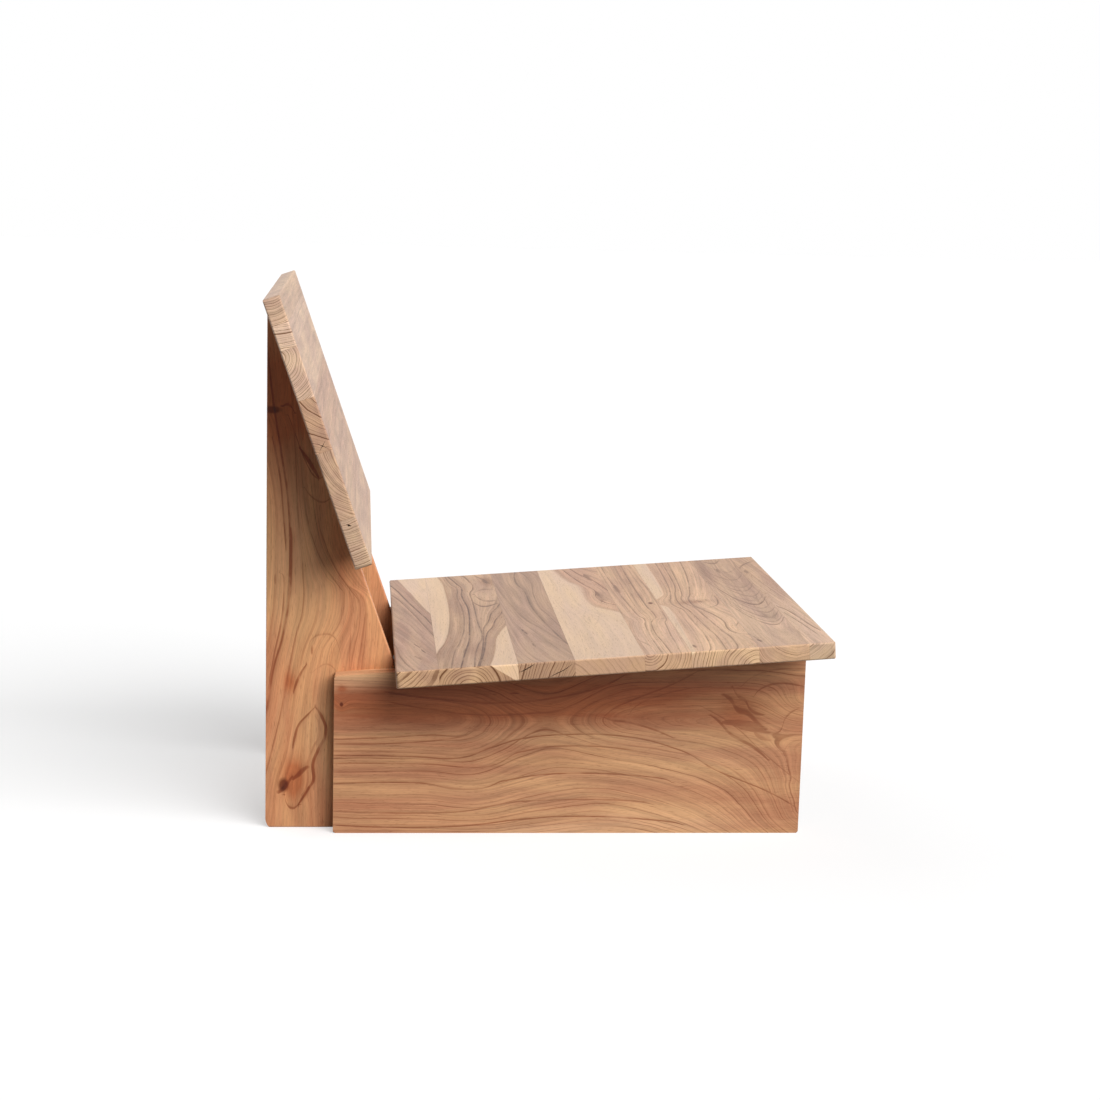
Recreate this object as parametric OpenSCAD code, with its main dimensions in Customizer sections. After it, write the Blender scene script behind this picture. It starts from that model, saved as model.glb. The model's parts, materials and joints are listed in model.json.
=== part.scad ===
// Low armless lounge chair in solid teak, all sizes in millimetres.
// The front of the chair faces -Y, X runs across it and Z is up.
// The origin lies on the floor, under the middle of the whole chair.

/* [Seat and backrest slabs] */
// Width of the seat and of the backrest, from side to side
slab_w = 600; // [560:5:680]
// Thickness of the staves of both slabs
slab_t = 22; // [19:1:28]
// Round-over along every outer arris of both slabs
arris_r = 2.5; // [1:0.5:5]
// Radius of the four corners of each slab
corner_r = 5; // [3:1:12]

/* [Seat] */
// Widths of the four rear staves of the seat, from the back forward
seat_rear_staves = [54, 99, 71, 88]; // [30:1:110]
// Widths of the four front staves of the seat, from the back forward
seat_front_staves = [59, 86, 64, 34]; // [30:1:110]
// Tilt of the seat, rising to the front, in degrees
seat_tilt = 4.4; // [1:0.1:8]
// Height of the seat's underside where it meets the rear legs
seat_rear_h = 215; // [190:1:250]
// How far the seat's front edge reaches past the side panels
seat_overhang = 19; // [5:1:40]

/* [Backrest] */
// Widths of the three upper staves of the backrest, from the top down
back_upper_staves = [34, 31, 64]; // [30:1:110]
// Widths of the three lower staves of the backrest, from the top down
back_lower_staves = [68, 87, 64]; // [40:1:90]
// Lean of the backrest from upright, in degrees
back_lean = 19.3; // [16:0.1:22]
// How far the backrest rises past the legs' upper point, along its slope
back_rise = 4; // [0:1:30]

/* [Side panels] */
// Distance between the outer faces of the two side panels
base_w = 415; // [380:5:480]
// Thickness of the side panels
side_t = 25; // [20:1:32]
// How far the panels' rear ends stand in front of the legs' rear edges
side_setback = 88; // [70:1:100]
// Round-over of the side panels' corners, seen from the side
side_corner_r = 2.5; // [1:0.5:6]

/* [Rear legs] */
// Thickness of the rear legs
leg_t = 22; // [19:1:28]
// Height of the point where the sloping and upright edges would meet
leg_point_h = 689; // [660:1:730]
// Width left where that point is cut off level
leg_tip_w = 6; // [4:1:12]
// Radius of the curve that eases the heel
heel_r = 20; // [16:1:30]
// Height at which the heel's curve begins
heel_rise = 13; // [6:1:15]

/* [Eased arrises] */
// Round-over along the arrises of the side panels and the rear legs
plank_arris = 1.5; // [0.5:0.5:2]
// Round-over along the arrises of the cross rails and the cleats
batten_arris = 1; // [0.5:0.5:2]

/* [Cross rails] */
// Thickness of both cross rails
rail_t = 22; // [18:1:28]
// Height of the front rail, at its rear face
front_rail_h = 70; // [50:1:90]
// How far the front rail stands behind the panels' front ends
front_rail_setback = 40; // [20:1:80]
// Height of the rear rail
rear_rail_h = 80; // [50:1:90]
// Height of the rear rail's lower edge above the floor
rear_rail_floor = 100; // [85:1:110]
// How far the rear rail stands in front of the legs' rear edges
rear_rail_setback = 128; // [122:1:134]
// Length of the stub tenons
tenon_l = 12; // [8:1:15]
// Thickness of the stub tenons
tenon_t = 10; // [6:1:14]
// Shoulder above and below each tenon
tenon_shoulder = 12; // [6:1:18]
// Clearance of a tenon on each side of its mortise
mortise_gap = 0.15; // [0.05:0.05:0.3]
// Clearance left at the bottom of a mortise
mortise_end_gap = 0.5; // [0.2:0.1:1]

/* [Cleats] */
// Width of the seat and back cleats, across the chair
cleat_w = 25; // [20:1:32]
// Depth of the cleats, square to the slab that they hold
cleat_h = 25; // [20:1:30]
// Gap between a cleat's end and what it stops at
cleat_end_gap = 4; // [2:0.5:10]
// Distance that a back cleat keeps from the legs' rear edges
cleat_rear_gap = 4; // [2:0.5:12]
// Distance of a back cleat's lower end from the backrest's lower edge
cleat_foot_gap = 10; // [5:1:30]

/* [Screws] */
// Diameter of the screws
screw_d = 4; // [3.5:0.5:5]
// Length of the screws
screw_l = 40; // [35:1:41]
// Diameter of the countersunk heads
screw_head_d = 8; // [7:0.5:10]
// Depth of the countersunk heads
screw_head_h = 2.4; // [2:0.2:3.2]
// Length of the screws' tips
screw_tip_l = 4; // [3:0.5:6]
// Width of the blunt end of a tip
screw_tip_d = 1; // [0.6:0.2:2]
// Length of each arm of the cross recess in a head, from end to end
recess_l = 4.4; // [3:0.2:4.8]
// Width of the recess's arms
recess_w = 1; // [0.6:0.1:1.2]
// Depth of the recess
recess_deep = 1.4; // [1:0.1:1.6]
// Clearance between a screw and the wood around it
screw_gap = 0.1; // [0.05:0.05:0.2]
// Least length of a cleat under a stave for a screw there
screw_land = 30; // [20:1:30]
// Inset of the leg screws from the side panels' rear ends
leg_screw_inset = 22; // [14:1:25]
// Height of the lower leg screws
leg_screw_low = 40; // [20:1:70]
// Height of the upper leg screws
leg_screw_high = 150; // [130:1:170]
// Distance of the front leg screws behind the legs' sloping edge
leg_screw_edge = 16; // [12:1:20]

/* [Hidden] */

$fn = 48;
// How far a cutting shape reaches past what it cuts
spill = 1;
// The two sides of the chair: the sitter's right is on -X
right = -1;
left = 1;

// Widths of all staves in order, and the sizes of the glued-up slabs
seat_staves = concat(seat_rear_staves, seat_front_staves);
back_staves = concat(back_upper_staves, back_lower_staves);
function total(widths, count) = count == 0 ? 0 : widths[count - 1] + total(widths, count - 1);
seat_depth = total(seat_staves, len(seat_staves));
back_length = total(back_staves, len(back_staves));

// Faces across the chair, as distances from its middle
side_outer = base_w / 2;
side_inner = side_outer - side_t;
leg_inner = side_inner - leg_t;

// Distances forward are counted from the legs' upright rear edges.
// The sloping front edge of a leg, and the seat's underside, at a given place
function leg_front(height) = (leg_point_h - height) * tan(back_lean);
seat_rear = leg_front(seat_rear_h);
function seat_under(forward) = seat_rear_h + (forward - seat_rear) * tan(seat_tilt);
seat_front = seat_rear + seat_depth * cos(seat_tilt);
side_front = seat_front - seat_overhang;

// Reach of the whole chair, to where its rounded edges bulge furthest
front_reach = seat_rear + (seat_depth - arris_r) * cos(seat_tilt) - arris_r * sin(seat_tilt) + arris_r;
back_bulge = (arris_r - back_rise) * sin(back_lean) + arris_r * cos(back_lean) - arris_r;
rear_reach = min(0, back_bulge);
middle = (front_reach + rear_reach) / 2;
// Y of a place that lies a given distance forward
function y_at(forward) = middle - forward;

// Front rail and rear rail
front_rail_front = side_front - front_rail_setback;
front_rail_rear = front_rail_front - rail_t;
front_rail_low = seat_under(front_rail_rear) - front_rail_h;
rear_rail_rear = rear_rail_setback;
rear_rail_front = rear_rail_rear + rail_t;

// Cleats: where they start and end along their slabs
seat_cleat_start = cleat_h * tan(back_lean - seat_tilt) + cleat_end_gap;
seat_cleat_stop = (front_rail_rear - seat_rear - cleat_h * sin(seat_tilt)) / cos(seat_tilt) - cleat_end_gap;
back_cleat_start = (cleat_h * cos(back_lean) + cleat_rear_gap) / sin(back_lean);
back_cleat_stop = back_length - back_rise - cleat_foot_gap;

// Screws: their places along the cleats and on the legs.
// Stretch of a cleat that lies under one stave, as its start and stop
function lap(widths, shift, i, start, stop) = [
    max(total(widths, i) - shift, start),
    min(total(widths, i + 1) - shift, stop)
];
// One screw at the middle of each stave that a cleat reaches under
function stave_screws(widths, shift, start, stop) = [
    for (i = [0 : len(widths) - 1])
        let (span = lap(widths, shift, i, start, stop))
            if (span[1] - span[0] >= screw_land) (span[0] + span[1]) / 2
];
// One screw through the cleat's side between each two of those
function between(places) = [
    for (i = [0 : len(places) - 2]) (places[i] + places[i + 1]) / 2
];
seat_screw_places = stave_screws(seat_staves, 0, seat_cleat_start, seat_cleat_stop);
back_screw_places = stave_screws(back_staves, back_rise, back_cleat_start, back_cleat_stop);
leg_screw_places = [
    for (height = [leg_screw_low, leg_screw_high])
        each [
            [side_setback + leg_screw_inset, height],
            [leg_front(height) - leg_screw_edge, height]
        ]
];

// Tones of the wood, and the screws' zinc
seat_tones = [
    [0.72, 0.60, 0.50], [0.78, 0.64, 0.49], [0.66, 0.53, 0.42], [0.85, 0.73, 0.58],
    [0.72, 0.59, 0.48], [0.76, 0.62, 0.47], [0.67, 0.54, 0.43], [0.64, 0.50, 0.39]
];
back_tones = [
    [0.66, 0.54, 0.44], [0.80, 0.67, 0.55], [0.78, 0.65, 0.53],
    [0.76, 0.63, 0.50], [0.79, 0.66, 0.54], [0.82, 0.70, 0.57]
];
side_tone = [0.64, 0.44, 0.28];
leg_tone = [0.72, 0.53, 0.36];
frame_tone = [0.60, 0.45, 0.31];
zinc = [0.72, 0.72, 0.70];

// Tangent points and arc centre that ease one corner of a convex outline
function unit(v) = v / norm(v);
function to_last(p, i) = unit(p[(i + len(p) - 1) % len(p)] - p[i]);
function to_next(p, i) = unit(p[(i + 1) % len(p)] - p[i]);
function half_angle(p, i) = acos(to_last(p, i) * to_next(p, i)) / 2;
function tangents(p, i, r) =
    let (run = r / tan(half_angle(p, i)))
        [p[i] + run * to_last(p, i), p[i] + run * to_next(p, i)];
function arc_centre(p, i, r) =
    p[i] + r / sin(half_angle(p, i)) * unit(to_last(p, i) + to_next(p, i));

// What easing takes off one corner, out past its point
module corner_cut(p, i, r) {
    ends = tangents(p, i, r);
    centre = arc_centre(p, i, r);
    difference() {
        polygon([ends[0], p[i] + spill * unit(p[i] - centre), ends[1]]);
        translate(centre)
            circle(r);
    }
}

// A convex outline with every corner eased by a true arc
module eased(p, r) {
    difference() {
        polygon(p);
        for (i = [0 : len(p) - 1])
            corner_cut(p, i, r);
    }
}

function box(w, h) = [[0, 0], [w, 0], [w, h], [0, h]];
module eased_box(w, h, r) {
    eased(box(w, h), r);
}

// Side view outlines: a list of [forward, height]. What is drawn in that view
// stands on edge between one X and another, and across() gives it thickness.
function side_view(places) = [for (p = places) [y_at(p[0]), p[1]]];
module on_edge(from_x, to_x) {
    translate([min(from_x, to_x), 0, 0])
        rotate([90, 0, 90])
            children();
}

module across(from_x, to_x) {
    on_edge(from_x, to_x)
        linear_extrude(abs(to_x - from_x))
            children();
}

// What easing takes off the two arrises along one edge of a plank
module edge_cut(outline, i, thick) {
    start = outline[(i + 1) % len(outline)];
    run = outline[i] - start;
    translate(start)
        rotate(atan2(run[1], run[0]))
            translate([-spill, 0, 0])
                rotate([90, 0, 90])
                    linear_extrude(norm(run) + 2 * spill)
                        for (corner = [0, 3])
                            corner_cut(box(thick, thick), corner, plank_arris);
}

// A plank with the arrises of its straight edges eased. Its child is its
// shape, and its outline goes clockwise round the straight edges.
module plank(outline, thick) {
    difference() {
        linear_extrude(thick)
            children();
        for (i = [0 : len(outline) - 1])
            edge_cut(outline, i, thick);
    }
}

// The slabs' own frames: X across, Y along the row of staves, Z square to
// the slab, with zero on the face that rests on the frame
module on_seat() {
    translate([0, y_at(seat_rear), seat_rear_h])
        rotate([-seat_tilt, 0, 0])
            mirror([0, 1, 0])
                children();
}

module on_back() {
    translate([0, y_at(0), leg_point_h])
        rotate([-back_lean, 0, 0])
            mirror([0, 0, 1])
                rotate([90, 0, 0])
                    children();
}

// A slab before it is divided into staves, eased all round
module slab(length) {
    intersection() {
        translate([0, length, 0])
            rotate([90, 0, 0])
                linear_extrude(length)
                    translate([-slab_w / 2, 0])
                        eased_box(slab_w, slab_t, arris_r);
        translate([-slab_w / 2, 0, 0])
            rotate([90, 0, 90])
                linear_extrude(slab_w)
                    eased_box(length, slab_t, arris_r);
        linear_extrude(slab_t)
            translate([-slab_w / 2, 0])
                eased_box(slab_w, length, corner_r);
    }
}

// One stave of a slab, edge to edge with its neighbours
module stave(widths, i) {
    intersection() {
        slab(total(widths, len(widths)));
        translate([-slab_w / 2 - spill, total(widths, i), -spill])
            cube([slab_w + 2 * spill, widths[i], slab_t + 2 * spill]);
    }
}

// A countersunk wood screw, head at zero and pointing along +Z
module screw() {
    difference() {
        union() {
            cylinder(h = screw_head_h, d1 = screw_head_d, d2 = screw_d);
            translate([0, 0, screw_head_h])
                cylinder(h = screw_l - screw_head_h - screw_tip_l, d = screw_d);
            translate([0, 0, screw_l - screw_tip_l])
                cylinder(h = screw_tip_l, d1 = screw_d, d2 = screw_tip_d);
        }
        for (turn = [0, 90])
            rotate(turn)
                translate([-recess_l / 2, -recess_w / 2, -spill])
                    cube([recess_l, recess_w, recess_deep + spill]);
    }
}

// The hole that a screw needs in the pieces that it joins
module screw_hole() {
    translate([0, 0, -spill])
        cylinder(h = screw_l + screw_gap + spill, d = screw_d + 2 * screw_gap);
    cylinder(h = screw_head_h, d1 = screw_head_d + 2 * screw_gap, d2 = screw_d + 2 * screw_gap);
    translate([0, 0, -spill])
        cylinder(h = spill, d = screw_head_d + 2 * screw_gap);
}

// Places for the screws of one cleat, which is fixed to an inner face of the
// side panel or the rear leg. A slab's own screws run up from the cleat's
// lower face, and the cleat's screws run out through its side.
module slab_screw_places(side, face, places) {
    for (place = places)
        translate([side * (face - cleat_w / 2), place, -cleat_h])
            children();
}

module cleat_screw_places(side, face, places) {
    for (place = between(places))
        translate([side * (face - cleat_w), place, -cleat_h / 2])
            rotate([0, side * 90, 0])
                children();
}

module leg_screw_places(side) {
    for (place = leg_screw_places)
        translate([side * leg_inner, y_at(place[0]), place[1]])
            rotate([0, side * 90, 0])
                children();
}

module both_sides() {
    for ($side = [right, left])
        children();
}

// Seat and backrest
module seat_stave(i) {
    color(seat_tones[i])
        on_seat()
            difference() {
                stave(seat_staves, i);
                both_sides()
                    slab_screw_places($side, side_inner, seat_screw_places)
                        screw_hole();
            }
}

module back_stave(i) {
    color(back_tones[i])
        on_back()
            difference() {
                translate([0, -back_rise, 0])
                    stave(back_staves, i);
                both_sides()
                    slab_screw_places($side, leg_inner, back_screw_places)
                        screw_hole();
            }
}

// Side panels, with the front rail's mortises in their inner faces
module side_panel(side) {
    outline = side_view([
        [side_setback, 0],
        [side_front, 0],
        [side_front, seat_under(side_front)],
        [side_setback, seat_under(side_setback)]
    ]);
    color(side_tone)
        difference() {
            on_edge(side * side_inner, side * side_outer)
                plank(outline, side_t)
                    eased(outline, side_corner_r);
            front_tenon(side, mortise_gap, mortise_end_gap);
            on_seat()
                cleat_screw_places(side, side_inner, seat_screw_places)
                    screw_hole();
            leg_screw_places(side)
                screw_hole();
        }
}

// Rear legs: upright at the back, sloping in front to carry the backrest
module rear_leg(side) {
    tip_h = leg_point_h - leg_tip_w / tan(back_lean);
    outline = side_view([
        [0, 0],
        [leg_front(0), 0],
        [leg_tip_w, tip_h],
        [0, tip_h]
    ]);
    color(leg_tone)
        difference() {
            on_edge(side * leg_inner, side * side_inner)
                difference() {
                    plank(outline, leg_t)
                        difference() {
                            polygon(outline);
                            heel_cut();
                        }
                    heel_arris();
                }
            rear_tenon(side, mortise_gap, mortise_end_gap);
            on_back()
                cleat_screw_places(side, leg_inner, back_screw_places)
                    screw_hole();
            leg_screw_places(side)
                screw_hole();
        }
}

// What the curve takes off a leg's heel, in side view
module heel_cut() {
    difference() {
        translate([y_at(heel_r), -spill])
            square([heel_r + spill, heel_rise + spill]);
        translate([y_at(heel_r), heel_rise])
            circle(heel_r);
    }
}

// What easing takes off the two arrises along that curve
module heel_arris() {
    sweep = asin(heel_rise / heel_r) + atan2(spill, heel_r);
    translate([y_at(heel_r), heel_rise, 0])
        rotate(-sweep)
            rotate_extrude(angle = sweep)
                translate([heel_r - leg_t, 0])
                    for (corner = [1, 2])
                        corner_cut(box(leg_t, leg_t), corner, plank_arris);
}

// Stub tenons of the cross rails. With gaps they are the mortises.
module stub(side, inner, rear, low, high, gap, end_gap) {
    across(side * (inner - spill), side * (inner + tenon_l + end_gap))
        polygon(side_view([
            [rear - gap, low - gap],
            [rear + tenon_t + gap, low - gap],
            [rear + tenon_t + gap, high + gap],
            [rear - gap, high + gap]
        ]));
}

module front_tenon(side, gap, end_gap) {
    stub(side, side_inner, front_rail_rear + (rail_t - tenon_t) / 2,
        front_rail_low + tenon_shoulder, seat_under(front_rail_rear) - tenon_shoulder, gap, end_gap);
}

module rear_tenon(side, gap, end_gap) {
    stub(side, leg_inner, rear_rail_rear + (rail_t - tenon_t) / 2,
        rear_rail_floor + tenon_shoulder, rear_rail_floor + rear_rail_h - tenon_shoulder, gap, end_gap);
}

// Cross rails. The front one is planed to the seat's slope.
module front_rail() {
    color(frame_tone) {
        across(-side_inner, side_inner)
            eased(side_view([
                [front_rail_rear, front_rail_low],
                [front_rail_front, front_rail_low],
                [front_rail_front, seat_under(front_rail_front)],
                [front_rail_rear, seat_under(front_rail_rear)]
            ]), batten_arris);
        both_sides()
            front_tenon($side, 0, 0);
    }
}

module rear_rail() {
    color(frame_tone) {
        across(-leg_inner, leg_inner)
            eased(side_view([
                [rear_rail_rear, rear_rail_floor],
                [rear_rail_front, rear_rail_floor],
                [rear_rail_front, rear_rail_floor + rear_rail_h],
                [rear_rail_rear, rear_rail_floor + rear_rail_h]
            ]), batten_arris);
        both_sides()
            rear_tenon($side, 0, 0);
    }
}

// Cleats, drilled for the screws that pass through them
module cleat(side, face, places, start, stop) {
    difference() {
        translate([side * (face - cleat_w / 2) - cleat_w / 2, stop, -cleat_h])
            rotate([90, 0, 0])
                linear_extrude(stop - start)
                    eased_box(cleat_w, cleat_h, batten_arris);
        slab_screw_places(side, face, places)
            screw_hole();
        cleat_screw_places(side, face, places)
            screw_hole();
    }
}

module seat_cleat(side) {
    color(frame_tone)
        on_seat()
            cleat(side, side_inner, seat_screw_places, seat_cleat_start, seat_cleat_stop);
}

module back_cleat(side) {
    color(frame_tone)
        on_back()
            cleat(side, leg_inner, back_screw_places, back_cleat_start, back_cleat_stop);
}

// Screws
module seat_screws() {
    color(zinc)
        on_seat()
            both_sides()
                slab_screw_places($side, side_inner, seat_screw_places)
                    screw();
}

module back_screws() {
    color(zinc)
        on_back()
            both_sides()
                slab_screw_places($side, leg_inner, back_screw_places)
                    screw();
}

module seat_cleat_screws() {
    color(zinc)
        on_seat()
            both_sides()
                cleat_screw_places($side, side_inner, seat_screw_places)
                    screw();
}

module back_cleat_screws() {
    color(zinc)
        on_back()
            both_sides()
                cleat_screw_places($side, leg_inner, back_screw_places)
                    screw();
}

module leg_screws() {
    color(zinc)
        both_sides()
            leg_screw_places($side)
                screw();
}

for (i = [0 : len(seat_staves) - 1])
    seat_stave(i);
for (i = [0 : len(back_staves) - 1])
    back_stave(i);
side_panel(right);  // side_panel_right
side_panel(left);  // side_panel_left
rear_leg(right);  // rear_leg_right
rear_leg(left);  // rear_leg_left
front_rail();
rear_rail();
seat_cleat(right);  // seat_cleat_right
seat_cleat(left);  // seat_cleat_left
back_cleat(right);  // back_cleat_right
back_cleat(left);  // back_cleat_left
seat_screws();
back_screws();
seat_cleat_screws();
back_cleat_screws();
leg_screws();
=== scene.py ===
import json
import math
import random
from dataclasses import dataclass

import bmesh
import bpy
from bpy.props import FloatProperty, FloatVectorProperty, IntProperty, PointerProperty
from mathutils import Matrix, Vector


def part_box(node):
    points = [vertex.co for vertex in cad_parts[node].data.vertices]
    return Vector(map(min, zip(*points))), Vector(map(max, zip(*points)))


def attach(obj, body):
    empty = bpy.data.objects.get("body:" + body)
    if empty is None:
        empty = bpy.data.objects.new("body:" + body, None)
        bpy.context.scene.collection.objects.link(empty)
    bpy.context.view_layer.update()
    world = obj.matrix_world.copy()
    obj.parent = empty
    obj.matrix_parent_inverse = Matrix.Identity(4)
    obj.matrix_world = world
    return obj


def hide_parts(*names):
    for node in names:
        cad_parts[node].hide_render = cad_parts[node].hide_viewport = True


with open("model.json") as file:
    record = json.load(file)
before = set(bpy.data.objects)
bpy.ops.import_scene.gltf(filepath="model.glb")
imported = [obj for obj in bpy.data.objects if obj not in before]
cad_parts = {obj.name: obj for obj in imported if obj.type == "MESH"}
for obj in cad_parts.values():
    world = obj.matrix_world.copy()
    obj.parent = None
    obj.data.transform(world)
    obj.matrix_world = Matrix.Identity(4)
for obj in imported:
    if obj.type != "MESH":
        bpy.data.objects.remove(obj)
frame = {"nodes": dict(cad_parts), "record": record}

bl_info = {
    "name": "Teak Lounge Chair",
    "version": (1, 0, 0),
    "blender": (4, 5, 0),
    "location": "View3D > Sidebar > Lounge Chair",
    "description": "Boards, screws and finishes of a low lounge chair in solid teak",
    "category": "Add Mesh",
}

# Places in the wood are written in millimetres, meshes in metres
MM = 0.001
BODY = "root"
SIDES = {"right": -1, "left": 1}
SEAT_STAVES = [f"seat_stave_{i}" for i in range(1, 9)]
BACK_STAVES = [f"back_stave_{i}" for i in range(1, 7)]
# Seeds of the boards' noise. Each stave of a slab, and each side of the chair, counts on from them.
SEAT_SEED, BACK_SEED, PANEL_SEED, LEG_SEED, RAIL_SEED, CLEAT_SEED = 10, 30, 50, 60, 70, 80
# Points that are closer together than this are one point
SAME_POINT = 1e-6


def tone(label, colour):
    """A colour that a user can change."""
    about = f"Colour of {label.lower()}"
    return FloatVectorProperty(name=label, description=about, subtype="COLOR", min=0, max=1, default=colour)


def length(label, size, about):
    """A length that a user can change."""
    return FloatProperty(name=label, description=about, unit="LENGTH", min=0, default=size)


def angle(label, degrees, about):
    """An angle that a user can change."""
    return FloatProperty(name=label, description=about, subtype="ANGLE", default=math.radians(degrees))


def number(label, value, about):
    """A plain number that a user can change."""
    return FloatProperty(name=label, description=about, default=value)


class ChairSizes(bpy.types.PropertyGroup):
    """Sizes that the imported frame's boxes don't give by themselves."""

    seat_tilt: angle("Seat tilt", 4.4, "Rise of the seat to the front")
    back_lean: angle("Back lean", 19.3, "Lean of the backrest from upright")
    slab_arris: length("Slab arris", 0.0025, "Round-over along every outer arris of the two slabs")
    slab_corner: length("Slab corner", 0.005, "Radius of the four corners of each slab")
    plank_arris: length("Plank arris", 0.0015, "Round-over of the side panels and the rear legs")
    panel_corner: length("Panel corner", 0.0025, "Radius of the side panels' corners, seen from the side")
    heel_radius: length("Heel radius", 0.020, "Radius of the curve that eases the leg's heel")
    heel_rise: length("Heel rise", 0.013, "Height at which the heel's curve begins")
    screw_width: length("Screw width", 0.004, "Diameter of the screws")
    screw_head: length("Screw head", 0.008, "Diameter of the countersunk heads")
    screw_head_depth: length("Screw head depth", 0.0024, "Depth of the countersunk heads")
    screw_length: length("Screw length", 0.040, "Length of the screws")
    screw_pitch: length("Screw pitch", 0.0018, "Distance between two turns of the thread")
    screw_seed: IntProperty(name="Screw seed", description="Seed of the angles at which the screws stopped",
                            default=7)


class TeakTones(bpy.types.PropertyGroup):
    """Colours of the boards, between their ring lines."""

    seat_1: tone("Seat stave 1", (0.50, 0.335, 0.245))
    seat_2: tone("Seat stave 2", (0.51, 0.345, 0.235))
    seat_3: tone("Seat stave 3", (0.42, 0.275, 0.195))
    seat_4: tone("Seat stave 4", (0.60, 0.39, 0.265))
    seat_5: tone("Seat stave 5", (0.60, 0.40, 0.27))
    seat_6: tone("Seat stave 6", (0.62, 0.415, 0.28))
    seat_7: tone("Seat stave 7", (0.53, 0.36, 0.255))
    seat_8: tone("Seat stave 8", (0.57, 0.39, 0.275))
    back_1: tone("Back stave 1", (0.59, 0.43, 0.315))
    back_2: tone("Back stave 2", (0.64, 0.48, 0.365))
    back_3: tone("Back stave 3", (0.60, 0.44, 0.33))
    back_4: tone("Back stave 4", (0.53, 0.36, 0.265))
    back_5: tone("Back stave 5", (0.54, 0.38, 0.28))
    back_6: tone("Back stave 6", (0.565, 0.41, 0.305))
    side: tone("Side panels", (0.59, 0.335, 0.18))
    leg: tone("Rear legs", (0.62, 0.33, 0.165))
    frame_wood: tone("Rails and cleats", (0.44, 0.26, 0.15))
    sapwood: tone("Sapwood", (0.68, 0.49, 0.345))


class StudioSettings(bpy.types.PropertyGroup):
    """Camera and light."""

    lens: number("Lens", 70.51, "Focal length on a frame 36 mm wide")
    place: FloatVectorProperty(name="Camera place", description="Where the camera stands",
                               subtype="TRANSLATION", default=(-2.90966, 0.24293, 0.85858))
    turn: angle("Camera turn", -5.176, "Turn of the view from straight across the chair")
    dip: angle("Camera dip", 10.074, "Angle of the view below level")
    roll: angle("Camera roll", 1.559, "Roll of the camera")
    key: number("Key light", 4.4, "Strength of the light from above the front")
    key_spread: angle("Key spread", 56, "Width of the key light as seen from the chair")
    fill: number("Fill light", 1.0, "Strength of the light from behind")
    fill_spread: angle("Fill spread", 70, "Width of the fill light as seen from the chair")
    sky: number("Sky", 0.06, "Strength of the even light all round")
    floor: length("Floor", 20.0, "Reach of the floor from the chair to each side")


class ChairSettings(bpy.types.PropertyGroup):
    """Everything that the sidebar shows."""

    sizes: PointerProperty(type=ChairSizes)
    tones: PointerProperty(type=TeakTones)
    studio: PointerProperty(type=StudioSettings)


def settings():
    return bpy.context.scene.lounge_chair


# Directions of the boards

@dataclass
class Grain:
    """Directions of a board along its grain, across it and through its thickness, and where they start."""

    along: Vector
    across: Vector
    depth: Vector
    start: Vector

    def place(self):
        """Matrix from the board's own directions to the chair's."""
        turn = Matrix((self.along, self.across, self.depth)).transposed()
        return Matrix.Translation(turn @ self.start) @ turn.to_4x4()


def reach(points):
    """Lowest and highest corner of some points."""
    return Vector(map(min, *points)), Vector(map(max, *points))


def span(nodes, grain):
    """Lowest and highest reach of some nodes in a board's own directions."""
    back = grain.place().inverted()
    return reach([back @ v.co for name in nodes for v in frame["nodes"][name].data.vertices])


def grain_of(nodes, along, across, depth, from_middle=(True, False, False)):
    """The grain of some boards, counted from their lowest reach, or from the chair's own origin."""
    grain = Grain(Vector(along), Vector(across), Vector(depth), Vector((0, 0, 0)))
    low, _ = span(nodes, grain)
    grain.start = Vector(0 if middle else least for middle, least in zip(from_middle, low))
    return grain


def seat_grain():
    """Along the staves, forward up the seat's slope, and up through its thickness."""
    s, c = math.sin(settings().sizes.seat_tilt), math.cos(settings().sizes.seat_tilt)
    return grain_of(SEAT_STAVES, (1, 0, 0), (0, -c, s), (0, s, c))


def back_grain():
    """Along the staves, down the backrest's slope, and forward through its thickness."""
    s, c = math.sin(settings().sizes.back_lean), math.cos(settings().sizes.back_lean)
    return grain_of(BACK_STAVES, (1, 0, 0), (0, -s, -c), (0, -c, s))


def panel_grain(node, side):
    """Forward from the rear legs' rear edges, up, and outwards."""
    grain = grain_of([node], (0, -1, 0), (0, 0, 1), (side, 0, 0), (False, True, False))
    grain.start.x = -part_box("rear_leg_right")[1].y
    return grain


def leg_grain(node, side):
    """Up, forward from the rear edge, and outwards."""
    return grain_of([node], (0, 0, 1), (0, -1, 0), (side, 0, 0))


# Nodes and the wires between them

SOCKETS = {
    "value": "NodeSocketFloat", "whole": "NodeSocketInt", "vector": "NodeSocketVector",
    "colour": "NodeSocketColor", "geometry": "NodeSocketGeometry", "object": "NodeSocketObject",
    "material": "NodeSocketMaterial",
}


class Wire:
    """What comes out of a node. Sums with it add maths nodes, for numbers or for vectors."""

    def __init__(self, tree, socket):
        self.tree, self.socket = tree, socket

    def __add__(self, other):
        return reckon("ADD", self, other)

    def __radd__(self, other):
        return reckon("ADD", other, self)

    def __sub__(self, other):
        return reckon("SUBTRACT", self, other)

    def __rsub__(self, other):
        return reckon("SUBTRACT", other, self)

    def __mul__(self, other):
        return reckon("MULTIPLY", self, other)

    def __rmul__(self, other):
        return reckon("MULTIPLY", other, self)

    def __truediv__(self, other):
        return reckon("DIVIDE", self, other)


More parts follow.
